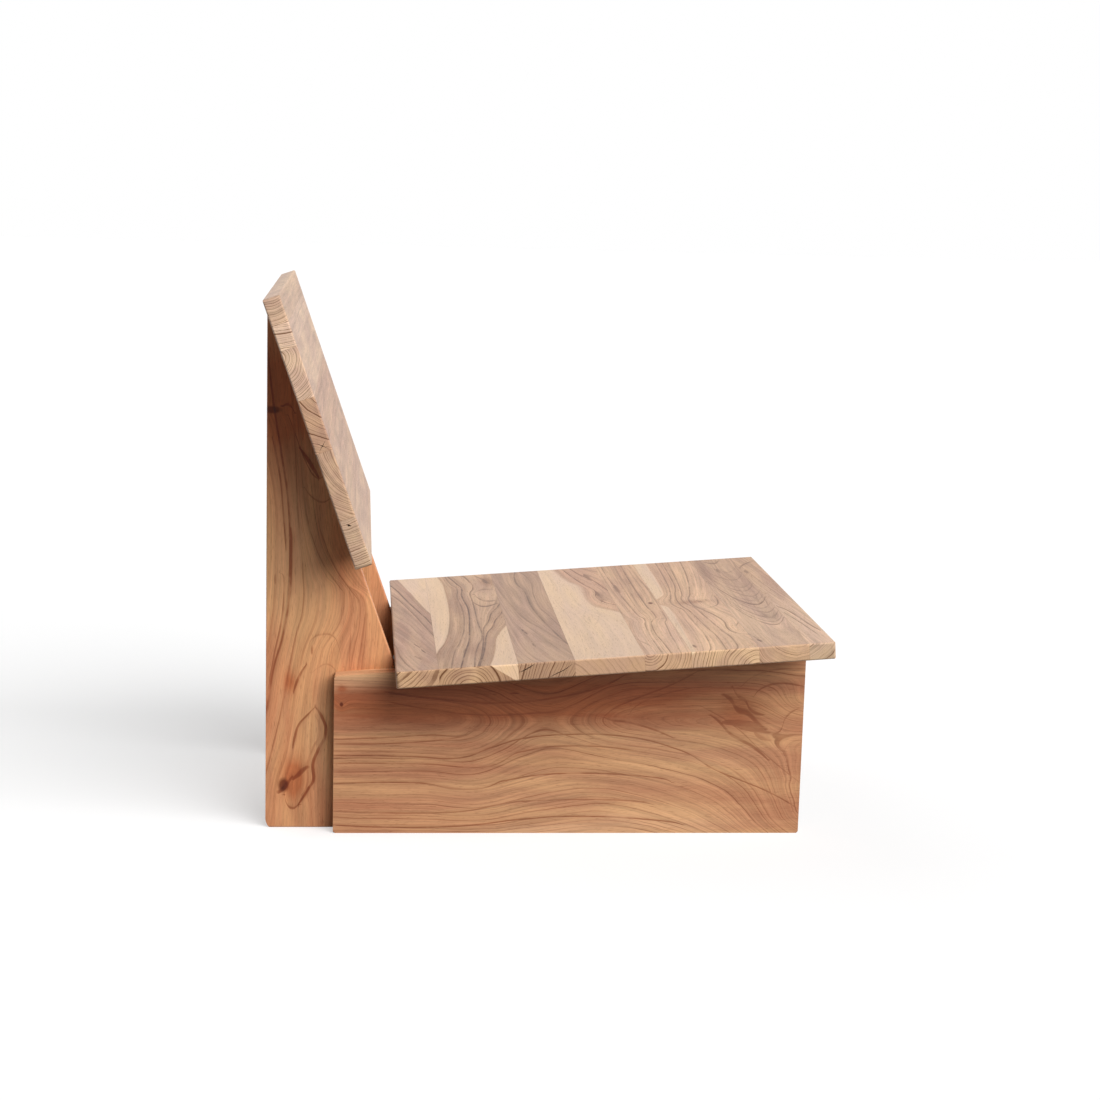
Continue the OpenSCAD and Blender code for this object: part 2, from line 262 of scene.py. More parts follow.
class Node:
    """A node of a tree. Reading an item gives an output, and setting one feeds an input."""

    def __init__(self, tree, made):
        self.tree, self.made = tree, made

    def __getitem__(self, key):
        return Wire(self.tree, self.made.outputs[key])

    def __setitem__(self, key, value):
        socket = self.made.inputs[key]
        if isinstance(value, Wire):
            self.tree.links.new(value.socket, socket)
        elif socket.type == "VECTOR" and isinstance(value, (int, float)):
            socket.default_value = (value, value, value)
        else:
            socket.default_value = value


def add(tree, kind, inputs=(), **options):
    """Adds a node, sets its options and feeds its inputs by name or number."""
    node = Node(tree, tree.nodes.new(kind))
    for name, value in options.items():
        setattr(node.made, name, value)
    for key, value in dict(inputs).items():
        node[key] = value
    return node


def first_wire(values):
    return next(value for value in values if isinstance(value, Wire))


def reckon(operation, *values):
    """A maths node, for numbers or for vectors as its first wire asks."""
    wire = first_wire(values)
    kind = "ShaderNodeMath" if wire.socket.type == "VALUE" else "ShaderNodeVectorMath"
    node = add(wire.tree, kind, enumerate(values), operation=operation)
    return node[1 if operation in ("DOT_PRODUCT", "LENGTH") else 0]


def times_plus(value, factor, plus):
    return reckon("MULTIPLY_ADD", value, factor, plus)


def scaled(wire, share):
    """A vector times a number that comes through a wire."""
    return add(wire.tree, "ShaderNodeVectorMath", {0: wire, "Scale": share}, operation="SCALE")[0]


def most(value, *others):
    """The greatest of some values."""
    for other in others:
        value = reckon("MAXIMUM", value, other)
    return value


def joined(*parts):
    """A vector from three numbers."""
    return add(first_wire(parts).tree, "ShaderNodeCombineXYZ", enumerate(parts))[0]


def parts_of(wire):
    """The three numbers of a vector."""
    node = add(wire.tree, "ShaderNodeSeparateXYZ", {0: wire})
    return node[0], node[1], node[2]


def step(value, low, high, bottom=0.0, top=1.0):
    """A smooth step from bottom to top while a value goes from low to high."""
    inputs = {"Value": value, "From Min": low, "From Max": high, "To Min": bottom, "To Max": top}
    return add(value.tree, "ShaderNodeMapRange", inputs, interpolation_type="SMOOTHSTEP")[0]


def waves(place, lengths, seed):
    """A place for noise whose waves have a length along the board, across it and through it."""
    return times_plus(place, [1 / size for size in lengths], seed)


def noise(place, detail=2.0, rough=0.5):
    """Soft noise at a place that is already scaled, from 0 to 1 with its middle at a half."""
    inputs = {"Vector": place, "Scale": 1.0, "Detail": detail, "Roughness": rough}
    return add(place.tree, "ShaderNodeTexNoise", inputs)


def line_noise(value, detail):
    """Soft noise that changes with one number."""
    inputs = {"W": value, "Scale": 1.0, "Detail": detail}
    return add(value.tree, "ShaderNodeTexNoise", inputs, noise_dimensions="1D")[0]


def drawn_curve(here, places, spare=5):
    """A smooth curve through (position, value) places, read at a position."""
    (first, _), (last, _) = places[0], places[-1]
    low = min(value for _, value in places) - spare
    high = max(value for _, value in places) + spare
    run, rise = last - first, high - low
    spots = [((position - first) / run, (value - low) / rise) for position, value in places]
    share = add(here.tree, "ShaderNodeMapRange", {"Value": here, "From Min": first, "From Max": last})[0]
    node = add(here.tree, "ShaderNodeFloatCurve", {"Value": share})
    points = node.made.mapping.curves[0].points
    points[0].location = spots[0]
    points[1].location = spots[-1]
    for spot in spots[1:-1]:
        points.new(*spot)
    node.made.mapping.update()
    return times_plus(node[0], rise, low)


def mix(share, first, second, blend="MIX"):
    """Blends two colours."""
    tree = first_wire((share, first, second)).tree
    return add(tree, "ShaderNodeMix", {0: share, 6: first, 7: second}, data_type="RGBA", blend_type=blend)[2]


def choose(share, first, second):
    """Goes from one value to another as a share goes from 0 to 1."""
    return times_plus(share, second - first, first)


def group(name, inputs, outputs, kind="ShaderNodeTree"):
    """A new node group's two inner ends. Sockets are listed as "Name: kind", or just "Name" for a value."""
    tree = bpy.data.node_groups.new(name, kind)
    for labels, way in ((inputs, "INPUT"), (outputs, "OUTPUT")):
        for label in labels.split(", "):
            title, _, sort = label.partition(": ")
            tree.interface.new_socket(title, in_out=way, socket_type=SOCKETS[sort or "value"])
    return add(tree, "NodeGroupInput"), add(tree, "NodeGroupOutput")


def use(name, **inputs):
    """Places a group in a material, with its inputs given by name, an underscore for each space."""
    node = add(first_wire(inputs.values()).tree, "ShaderNodeGroup", node_tree=bpy.data.node_groups[name])
    for key, value in inputs.items():
        node[key.replace("_", " ")] = value
    return node


# Shader groups

DRAWN_GROUPS = []


def shader_group(name, inputs, outputs):
    """Lists a function that draws a shader group, for build_groups."""
    def listed(draw):
        DRAWN_GROUPS.append((name, inputs, outputs, draw))
        return draw
    return listed


def build_groups():
    for name, inputs, outputs, draw in DRAWN_GROUPS:
        draw(*group(name, inputs, outputs))


@shader_group("board place", "Position: vector, Along: vector, Across: vector, Depth: vector, Start: vector",
              "Board: vector")
def draw_place(ins, outs):
    """Object coordinates in metres become a board's own, in millimetres."""
    ways = (ins["Along"], ins["Across"], ins["Depth"])
    here = joined(*[reckon("DOT_PRODUCT", ins["Position"], way) for way in ways])
    outs["Board"] = (here - ins["Start"]) / MM


@shader_group("stray", "Board: vector, Seed: vector, Amount", "Stray: vector")
def draw_stray(ins, outs):
    """Rings stray from their path in long slow waves and in short shallow ones."""
    slow = noise(waves(ins["Board"], (190, 55, 55), ins["Seed"]), 1.0)["Color"] - 0.5
    quick = noise(waves(ins["Board"], (44, 15, 15), ins["Seed"]), 2.0)["Color"] - 0.5
    outs["Stray"] = scaled(times_plus(quick, 0.28, slow), ins["Amount"])


@shader_group("pith distance", "Board: vector, Stray: vector, Pith: vector, Drift: vector, Bend", "Distance")
def draw_pith(ins, outs):
    """Distance from the tree's middle, a line that drifts and bends along the board."""
    along = parts_of(ins["Board"])[0]
    middle = ins["Pith"] + scaled(ins["Drift"], along) + joined(0.0, along * along * ins["Bend"], 0.0)
    away = ins["Board"] + ins["Stray"] - middle
    outs["Distance"] = reckon("LENGTH", away * (0, 1, 1))


@shader_group("swell", "Board: vector, Place: vector, Reach: vector, Height", "Lift")
def draw_swell(ins, outs):
    """A soft hump, for rings that bulge, for a spot of another tone, or for a spot of painted shade or
    painted light.
    """
    away = (ins["Board"] - ins["Place"]) / ins["Reach"]
    outs["Lift"] = reckon("EXPONENT", reckon("DOT_PRODUCT", away, away) * -1.0) * ins["Height"]


@shader_group("growth rings", "Board: vector, Distance, Ring, Uneven, Seed, Least", "Line, Ring tone")
def draw_rings(ins, outs):
    """Ring lines, sharp on their outer side, with fainter ones between. Some rings are darker than others."""
    uneven = line_noise(ins["Distance"] / (ins["Ring"] * 3.0) + ins["Seed"], 1.0)
    count = ins["Distance"] / ins["Ring"] + (uneven - 0.5) * (ins["Uneven"] * 4.0)
    through = reckon("FRACT", count)
    ring_number = reckon("FLOOR", count) + ins["Seed"]
    strengths = []
    for ring in (ring_number, ring_number - 1.0):
        chance = add(ring.tree, "ShaderNodeTexWhiteNoise", {"W": ring}, noise_dimensions="1D")[0]
        strengths.append(step(chance, 0.2, 1.0, ins["Least"], 1.0))
    rise = most(step(through, 0.79, 0.88), reckon("POWER", through, 3.0) * 0.45) * strengths[0]
    fall = step(through, 0.0, 0.05, 1.0, 0.0) * strengths[1]
    # About three fainter lines to a ring
    faint = step(reckon("FRACT", count * 3.17), 0.55, 0.95, 0.0, 0.28)
    patchy = noise(waves(ins["Board"], (70, 16, 16), ins["Seed"]))[0]
    outs["Line"] = most(rise, fall, faint) * step(patchy, 0.30, 0.62, ins["Least"] + 0.1, 1.0)
    outs["Ring tone"] = line_noise(times_plus(count, 0.8, ins["Seed"]), 2.0)


@shader_group("fibre", "Board: vector, Distance, Seed: vector", "Streak, Pore, Cloud")
def draw_fibre(ins, outs):
    """Fine streaks that follow the rings, open pores along the grain, and soft clouds."""
    board, seed = ins["Board"], ins["Seed"]
    flow = joined(parts_of(board)[0], ins["Distance"], 0.0)
    fine = noise(waves(flow, (90, 2.2, 1), seed), 4.0, 0.7)[0]
    wide = noise(waves(flow, (150, 7, 1), seed))[0]
    outs["Streak"] = times_plus(wide, 0.4, fine * 0.6)
    outs["Pore"] = step(noise(waves(board, (11, 0.6, 0.6), seed), 1.0)[0], 0.60, 0.72)
    outs["Cloud"] = step(noise(waves(board, (200, 26, 26), seed), 3.0)[0], 0.32, 0.68)


@shader_group("sapwood", "Beyond, Stray: vector, Soft", "Share")
def draw_sapwood(ins, outs):
    """Pale wood beyond an edge that wavers a little."""
    strayed = reckon("DOT_PRODUCT", ins["Stray"], 0.15)
    outs["Share"] = step((ins["Beyond"] + strayed) / ins["Soft"], -1.0, 1.0)


@shader_group("knot", "Board: vector, Stray: vector, Place: vector, Size: vector, Lift", "Heart, Lift")
def draw_knot(ins, outs):
    """A dark knot with a soft rim, and the lift that bends the rings round it."""
    away = times_plus(ins["Stray"], 0.25, ins["Board"] - ins["Place"]) / ins["Size"]
    radius = reckon("LENGTH", away)
    outs["Heart"] = step(radius, 0.45, 1.05, 1.0, 0.0)
    outs["Lift"] = reckon("EXPONENT", radius * radius * -0.16) * ins["Lift"]


@shader_group("between lines", "Here, Line, Next", "Share")
def draw_between(ins, outs):
    """How far a place lies on its way from one drawn line to the next."""
    share = (ins["Here"] - ins["Line"]) / most(ins["Next"] - ins["Line"], 0.5)
    outs["Share"] = reckon("MINIMUM", most(share, 0.0), 1.0)


@shader_group("drawn line", "Off, Run, Middle, Half run, Width, Strength", "Mask")
def draw_line(ins, outs):
    """A dark line with a soft shade on one side, whose ends fade."""
    over = reckon("ABSOLUTE", ins["Run"] - ins["Middle"]) - ins["Half run"]
    inside = ins["Off"] / (ins["Width"] * step(over, -14.0, 6.0, 1.0, 0.3))
    profile = drawn_curve(inside, ((-1.2, 0), (-0.5, 1), (0.3, 1), (1.0, 0.38), (4.2, 0)), 0)
    outs["Mask"] = profile * step(over, 0.0, 6.0, ins["Strength"], 0.0)


@shader_group("fading", "Board: vector, Seed: vector", "Fade")
def draw_fading(ins, outs):
    """How plainly dark lines show from place to place."""
    patchy = noise(waves(ins["Board"], (32, 14, 14), ins["Seed"]))[0]
    outs["Fade"] = step(patchy, 0.32, 0.55, 0.5, 1.0)


@shader_group("end grain", "Normal: vector, Along: vector", "Share")
def draw_end(ins, outs):
    """How far a surface shows the wood's end grain."""
    outs["Share"] = step(reckon("ABSOLUTE", reckon("DOT_PRODUCT", ins["Normal"], ins["Along"])), 0.35, 0.9)


@shader_group("glue line", "Board: vector, Low, High", "Mask")
def draw_glue(ins, outs):
    """The thin glue line at a board's two long edges."""
    across = parts_of(ins["Board"])[1]
    outs["Mask"] = step(reckon("MINIMUM", across - ins["Low"], ins["High"] - across), 0.05, 0.30, 1.0, 0.0)


# What pores, knots and glue lines multiply the wood's colour with, and the hues that its clouds go between
PORE_TINT, KNOT_TINT, GLUE_TINT = (0.52, 0.42, 0.35, 1), (0.30, 0.18, 0.13, 1), (0.45, 0.36, 0.30, 1)
WARM_TINT, COOL_TINT = (1.02, 1.01, 0.95, 1), (0.98, 0.97, 1.01, 1)


@shader_group("teak", "Light: colour, Dark: colour, Line tint: colour, Sap: colour, Line, Ring tone, Patch, "
              "Sapwood, Streak, Pore, Cloud, Knot, End, End tint: colour, Seam",
              "Color: colour, Roughness, Height")
def draw_teak(ins, outs):
    """Puts the wood together: colour, roughness and the height of its fine relief."""
    # Patch darkens the wood, or lightens it below zero: its own darker and lighter spots, and painted shade
    # and painted light
    dim = times_plus(ins["Ring tone"], 0.55, ins["Cloud"] * 0.35) + 0.05 + ins["Patch"]
    wood = mix(ins["Sapwood"], mix(dim, ins["Light"], ins["Dark"]), ins["Sap"])
    quiet = 1.0 - ins["Sapwood"] * 0.65
    line = ins["Line"] * quiet
    swing = times_plus(ins["Streak"] - 0.5, quiet * 1.4, 1.0)
    grey = add(swing.tree, "ShaderNodeCombineColor", {0: swing, 1: swing, 2: swing})[0]
    hue = mix(ins["Cloud"], WARM_TINT, COOL_TINT)
    layers = (
        (line, ins["Line tint"]), (1.0, grey), (1.0, hue), (ins["Pore"] * 0.55, PORE_TINT),
        (ins["End"], ins["End tint"]), (ins["Knot"], KNOT_TINT), (ins["Seam"] * 0.5, GLUE_TINT),
    )
    for share, tint in layers:
        wood = mix(share, wood, tint, "MULTIPLY")
    outs["Color"] = wood
    rough = times_plus(ins["End"], 0.12, times_plus(ins["Pore"], 0.12, 0.50))
    outs["Roughness"] = times_plus(line, -0.06, rough)
    relief = times_plus(line, -0.3, times_plus(ins["Pore"], -0.7, ins["Streak"] * 0.3))
    outs["Height"] = times_plus(ins["Seam"], -0.8, relief)


# Figure of each board

@dataclass
class Line:
    """A dark line drawn through places (along, across) on a board's face."""

    places: tuple
    strength: float = 0.8
    # Half of its width
    width: float = 1.0
    # A line that runs across the board is read at places across it
    crosswise: bool = False
    # How dark the wood is at this line, where it is one of the board's courses
    tone: float = 0


def drawn(strength, *places, **options):
    return Line(places, strength, **options)


def arch(strength, tip, middle, width=3.0, steep=0.11):
    """A pointed arch across the wide front stave, where a ring was cut nearly flat."""
    places = ((tip + steep * (across - middle) ** 2, across) for across in (459, 470, 482, middle, 510, 519))
    return Line(tuple(places), strength, width, crosswise=True)


@dataclass
class Figure:
    """How one board was cut from its tree, and where shade and light are painted on it. Places are (along,
    across) in millimetres.
    """

    # Across and depth of the tree's middle, and how it drifts and bends along the board
    pith: tuple
    drift: tuple = (0, 0)
    bend: float = 0
    # Width of a growth ring, how uneven the widths are, how far rings stray, and how dark their lines are
    ring: float = 6
    uneven: float = 0.5
    stray: float = 5
    contrast: float = 0.5
    # How strong the faintest ring line is, and how plainly the rings differ in tone
    least: float = 0.2
    bands: float = 1
    # The darkest parts and the lines against the board's own colour, and the end grain against the face
    dark: tuple = (0.68, 0.585, 0.54)
    tint: tuple = (0.28, 0.19, 0.13)
    end: tuple = (0.98, 0.91, 0.82)
    # Humps that bend the rings: along, across, reach along, reach across, height
    swells: tuple = ()
    # Dark knots: along, across, size along, size across, lift
    knots: tuple = ()
    # Lines from end to end, in order across the board, between which the rings run
    courses: tuple = ()
    # Other dark lines
    lines: tuple = ()
    # Pale wood beyond a course: the course's number, the side, 1 or -1, how far the edge shifts for each
    # millimetre below the face, and its softness
    sapwood: tuple = ()
    # Soft darker spots, or lighter ones below zero: along, across, reach along, reach across, strength. Some
    # are the wood's own tone; others are painted shade, or painted light that lifts a shadow, where the
    # chair's own parts shade the board
    tone_and_shade_patches: tuple = ()
    # Splits in the board's near end: a path of (across, depth), its width and how deep it goes
    splits: tuple = ()


# The figure runs all the way through a board, so humps and knots reach deep
THROUGH = 200
# Drawn lines waver with this share of the rings' stray
WAVER = 0.22
# The lightest wood against the board's own colour
LIGHTEST = 1.15
# End grain: how wide its rings and how dark its lines are against the face, and its faintest ring line
END_RING, END_LINE, END_LEAST = 0.8, 1.35, 0.5

SEAT_FIGURES = [
    Figure(
        pith=(-60, 50), drift=(-0.146, 0), ring=8, contrast=0.22, stray=7, end=(1.32, 1.28, 1.06),
        courses=(
            drawn(0.6, (-300, 24), (-220, 8), (-150, 2), (0, -40), (300, -110)),
            drawn(0.3, (-300, 70), (-220, 45), (-120, 21), (0, -15), (300, -85), tone=0.1),
            drawn(0.25, (-300, 80), (-130, 42), (-20, 22), (40, 3), (300, -60)),
            drawn(0.7, (-300, 90), (-140, 60), (-30, 42), (60, 27), (150, 10), (300, -35)),
            drawn(0.95, (-300, 105), (-100, 64), (0, 48), (95, 30), (165, 18), (240, 5), (300, -10),
                tone=0.1),
            drawn(0, (-300, 125), (0, 60), (70, 47), (170, 33), (250, 20), (300, 12), tone=0.15)),
        lines=(
            drawn(0.8, (-172, 34), (-150, 27), width=1.4), drawn(0.9, (-204, 40), (-186, 36), width=1.6),
            drawn(0.5, (-240, 33), (-222, 27), width=2.5), drawn(0.35, (190, 48), (215, 48), width=4)),
        sapwood=((5, 1, 0, 1.2),)),
    Figure(
        pith=(121.8, 1.3), drift=(0.103, 0.027), ring=5.6, contrast=0.3, stray=4, uneven=0.35,
        end=(1.25, 1.2, 1.06),
        courses=(
            drawn(0, (-300, 45), (-200, 57), (-150, 67), (-50, 76), (50, 79.5), (200, 79.5), (300, 72),
                tone=0.3),
            drawn(0.7, (-300, 70), (-220, 77), (-150, 88), (-50, 97), (50, 99), (140, 96), (195, 98),
                (230, 91), (300, 84), tone=0.1),
            drawn(1, (-300, 82), (-220, 91), (-150, 99), (-75, 103), (50, 107), (150, 103), (195, 105),
                (230, 100), (300, 88), width=1.2),
            drawn(0.8, (-300, 99), (-240, 103), (-180, 110), (-115, 118), (-50, 116), (100, 116),
                (150, 115), (205, 122), (250, 118), (300, 109), tone=-0.15),
            drawn(0.9, (-300, 103), (-220, 113), (-100, 121), (-85, 122), (-45, 130), (10, 138), (55, 150),
                (300, 190), tone=0.05, width=1.2),
            drawn(0.9, (-300, 105), (-220, 115), (-115, 125), (-75, 135), (-40, 140), (0, 150), (55, 160),
                (300, 205), tone=0.15),
            drawn(0, (-300, 118), (-240, 127), (-200, 131), (-150, 135), (-110, 143), (-70, 153),
                (300, 230), tone=0.15)),
        lines=(
            drawn(0.9, (105, 116), (77, 121), (60, 130), (64, 140), (76, 149), crosswise=True, width=3.8),
            drawn(0.7, (150, 121), (118, 126), (100, 134), (95, 146), crosswise=True, width=6.0),
            drawn(0.5, (165, 124), (180, 135), (178, 149), crosswise=True, width=3.8),
            drawn(0.7, (226, 144), (260, 140), width=3.5),
            drawn(0.6, (225, 147), (250, 141), (290, 128), width=2),
            drawn(0.6, (-225, 90), (-195, 94), width=2.6)),
        tone_and_shade_patches=((-215, 104, 40, 12, 0.35), (130, 142, 40, 14, -0.2), (240, 145, 30, 10, 0.8)),
        sapwood=((0, -1, -0.5, 1.2), (6, 1, 1.45, 1.2))),
    Figure(
        pith=(245, -70), drift=(-0.21, 0), bend=0.0007, ring=4.5, contrast=0.3, stray=4,
        dark=(0.82, 0.78, 0.74), end=(1.05, 0.98, 0.88),
        courses=(
            drawn(0.3, (-300, 186), (-270, 175), (-200, 165), (-110, 160), (300, 140), tone=-0.25),
            drawn(0.4, (-300, 245), (-177, 215), (-105, 197), (-36, 180), (45, 170), (150, 160),
                (300, 150)),
            drawn(0.7, (-300, 240), (-200, 222), (-127, 212), (-45, 203), (45, 196), (150, 194), (220, 186),
                (300, 191), tone=0.15, width=1.4),
            drawn(0.5, (-300, 262), (-77, 220), (-18, 213), (27, 207), (120, 205), (209, 208), (300, 197),
                tone=0.1)),
        lines=(
            drawn(0.9, (-135, 177), (-105, 172), width=1.8), drawn(0.9, (-210, 182), (-195, 180), width=2)),
        splits=(
            (((154, 11), (160, 13), (168, 17), (174, 20.5)), 1.4, 5),
            (((189, 1), (200, 6), (210, 10), (221, 17)), 1.1, 4))),
    Figure(
        pith=(180, -60), drift=(0.02, 0), ring=9, contrast=0.22, stray=6, end=(0.88, 0.76, 0.66),
        courses=(
            drawn(0.25, (-300, 235), (-200, 244), (-18, 240), (64, 233), (118, 234), (195, 238),
                (300, 228)),
            drawn(0.15, (-300, 345), (-120, 335), (-40, 312), (-5, 290), (20, 280), (75, 275), (150, 276),
                (200, 263), (300, 248)),
            drawn(0.95, (-300, 365), (-60, 345), (20, 306), (32, 299), (80, 291), (109, 294), (159, 285),
                (205, 276), (300, 262), tone=-0.1),
            drawn(0.85, (-300, 385), (0, 340), (60, 320), (136, 309), (195, 299), (245, 284), (300, 274),
                tone=0.05),
            drawn(0.7, (-300, 400), (0, 360), (195, 330), (255, 312), (282, 297), (300, 288), tone=0.0)),
        lines=(
            drawn(0.8, (40, 296), (110, 295), width=3.5), drawn(0.7, (195, 297), (245, 291), width=3.5),
            drawn(0.45, (-108, 268), (-80, 261), (-45, 261), (-8, 277)),
            drawn(0.4, (-108, 270), (-70, 279), (-30, 283), (-8, 280)),
            drawn(0.55, (-82, 266), (-60, 267), width=3), drawn(0.35, (-185, 273), (-175, 273), width=2)),
        sapwood=((1, -1, 0.2, 6.0),)),
    Figure(
        pith=(318, 27), ring=5.2, contrast=0.42, stray=6, end=(0.97, 0.93, 0.87),
        courses=(
            drawn(0.7, (-300, 335), (-190, 333), (-123, 336), (-95, 339), (-73, 334), (9, 329), (118, 324),
                (300, 322)),
            drawn(0.3, (-300, 340), (-190, 338), (-100, 344), (-36, 338), (73, 336), (300, 336), tone=0.1),
            drawn(0.75, (-300, 346), (-236, 344), (-180, 342), (-132, 344), (-100, 350), (-80, 356),
                (0, 352), (300, 352), tone=0.15),
            drawn(0.5, (-300, 358), (-123, 363), (-95, 368), (300, 364))),
        lines=(
            drawn(0.7, (93, 326), (148, 325), width=3),
            drawn(0.6, (-92, 341), (-98, 352), (-93, 370), crosswise=True),
            drawn(0.5, (-255, 326), (-205, 312))),
        knots=((8, 360, 9, 4, 3),),
        # Painted light: the spot over the near half makes that half lighter, as the light falls more strongly
        # there
        tone_and_shade_patches=((-220, 340, 190, 90, -0.45),)),
    Figure(
        pith=(455, -8), ring=5, contrast=0.45, stray=5, end=(1.14, 1.16, 1.08),
        courses=(
            drawn(0, (-300, 376), (-200, 379), (-30, 380), (5, 368), (40, 376), (70, 386), (150, 389),
                (300, 391)),
            drawn(0.6, (-300, 394), (-214, 402), (-100, 399), (-55, 398), (0, 388), (32, 392), (73, 397),
                (150, 402), (300, 406)),
            drawn(0.7, (-300, 416), (-223, 416), (-173, 412), (-60, 405), (0, 398), (41, 400), (95, 407),
                (145, 411), (300, 416), tone=0.15),
            drawn(0.7, (-300, 428), (-259, 433), (-186, 427), (-100, 420), (-40, 415), (10, 405), (50, 410),
                (164, 418), (300, 424)),
            drawn(0.8, (-300, 480), (-225, 457), (-215, 446), (-182, 437), (-141, 439), (-100, 434),
                (-60, 424), (0, 414), (55, 422), (186, 437), (300, 443), tone=-0.1, width=1.2)),
        lines=(
            drawn(0.8, (-50, 425), (-45, 435), (-32, 447), (-9, 452), (27, 453)),
            drawn(0.7, (-6, 429), (3, 424), width=2.5), drawn(0.6, (3, 438), (8, 437), width=2),
            drawn(0.7, (-168, 451), (-150, 456)), drawn(0.9, (-276, 380), (-264, 379), width=3)),
        # The first spot is the wood's own tone; the second is painted light, making the near half lighter, as
        # the light falls more strongly there
        tone_and_shade_patches=((-2, 420, 12, 26, 0.6), (-220, 410, 190, 90, -0.25)),
        sapwood=((0, -1, -1, 1.2),)),
    Figure(
        pith=(505, 32), drift=(0, -0.033), ring=3.6, contrast=0.45, stray=5, end=(1.18, 1.14, 1.02),
        lines=(
            arch(0.75, -178, 500), arch(0.45, -160, 501), arch(0.6, -132, 501), arch(0.5, -100, 503),
            arch(0.35, -72, 502), arch(0.9, -46, 499, width=4.2), arch(0.4, -22, 500), arch(0.55, 10, 502),
            arch(0.6, 48, 498), arch(0.35, 75, 500), arch(0.45, 130, 497), arch(0.35, 190, 499),
            drawn(0.7, (277, 480), (264, 488), (282, 500), crosswise=True, width=6.0),
            drawn(0.6, (190, 488), (218, 488), width=3), drawn(0.9, (-268, 465), (-258, 463), width=3),
            drawn(0.5, (-265, 465), (-214, 457))),
        # The small spot is the wood's own tone; the wide ones are painted light on the near half and painted
        # shade on the far half, for how the light falls along the stave
        tone_and_shade_patches=((230, 490, 60, 20, -0.2), (230, 490, 150, 80, 0.3), (-220, 490, 190, 90, -0.3))),
    Figure(
        pith=(470, 55), drift=(-0.1, 0), ring=5, contrast=0.45, stray=5, end=(0.96, 0.99, 0.95),
        lines=(
            drawn(0.8, (-227, 550), (-186, 543), (-136, 538), (-95, 532), (-64, 524), width=1.3),
            drawn(0.7, (-255, 543), (-200, 537), (-136, 529), (-109, 526)),
            drawn(0.8, (214, 521), (232, 527), (250, 538), (264, 550), width=2),
            drawn(0.6, (175, 526), (195, 526), width=4)),
        # Painted shade on the far half and painted light on the near half, for how the light falls along the
        # stave
        tone_and_shade_patches=((230, 540, 180, 90, 0.3), (-220, 540, 190, 90, -0.6))),
]

BACK_FIGURES = [
    Figure(pith=(-60, 8), ring=3.2, contrast=0.35, least=0.5, bands=0.7, end=(1.26, 1.24, 1.22)),
    Figure(pith=(-40, 14), ring=3, contrast=0.3, least=0.5, bands=0.7, end=(1.48, 1.5, 1.46)),
    Figure(pith=(74, -6), ring=3, contrast=0.3, least=0.5, bands=0.7, end=(1.32, 1.32, 1.3)),
    Figure(
        pith=(100, 65), ring=3.2, contrast=0.4, least=0.4, bands=0.7, end=(1.2, 1.14, 1.03),
        splits=((((184, 6), (189, 11), (195, 18)), 0.9, 3), (((184, 17), (189, 12), (194, 6)), 0.8, 3))),
    Figure(pith=(200, 75), ring=3, contrast=0.4, least=0.5, bands=0.7, end=(1.28, 1.26, 1.16)),
    Figure(
        pith=(200, 10), ring=3.2, contrast=0.3, least=0.5, bands=0.7, end=(1.22, 1.22, 1.14),
        splits=((((290, 8), (292, 10.5), (293.5, 13)), 2.6, 4),)),
]

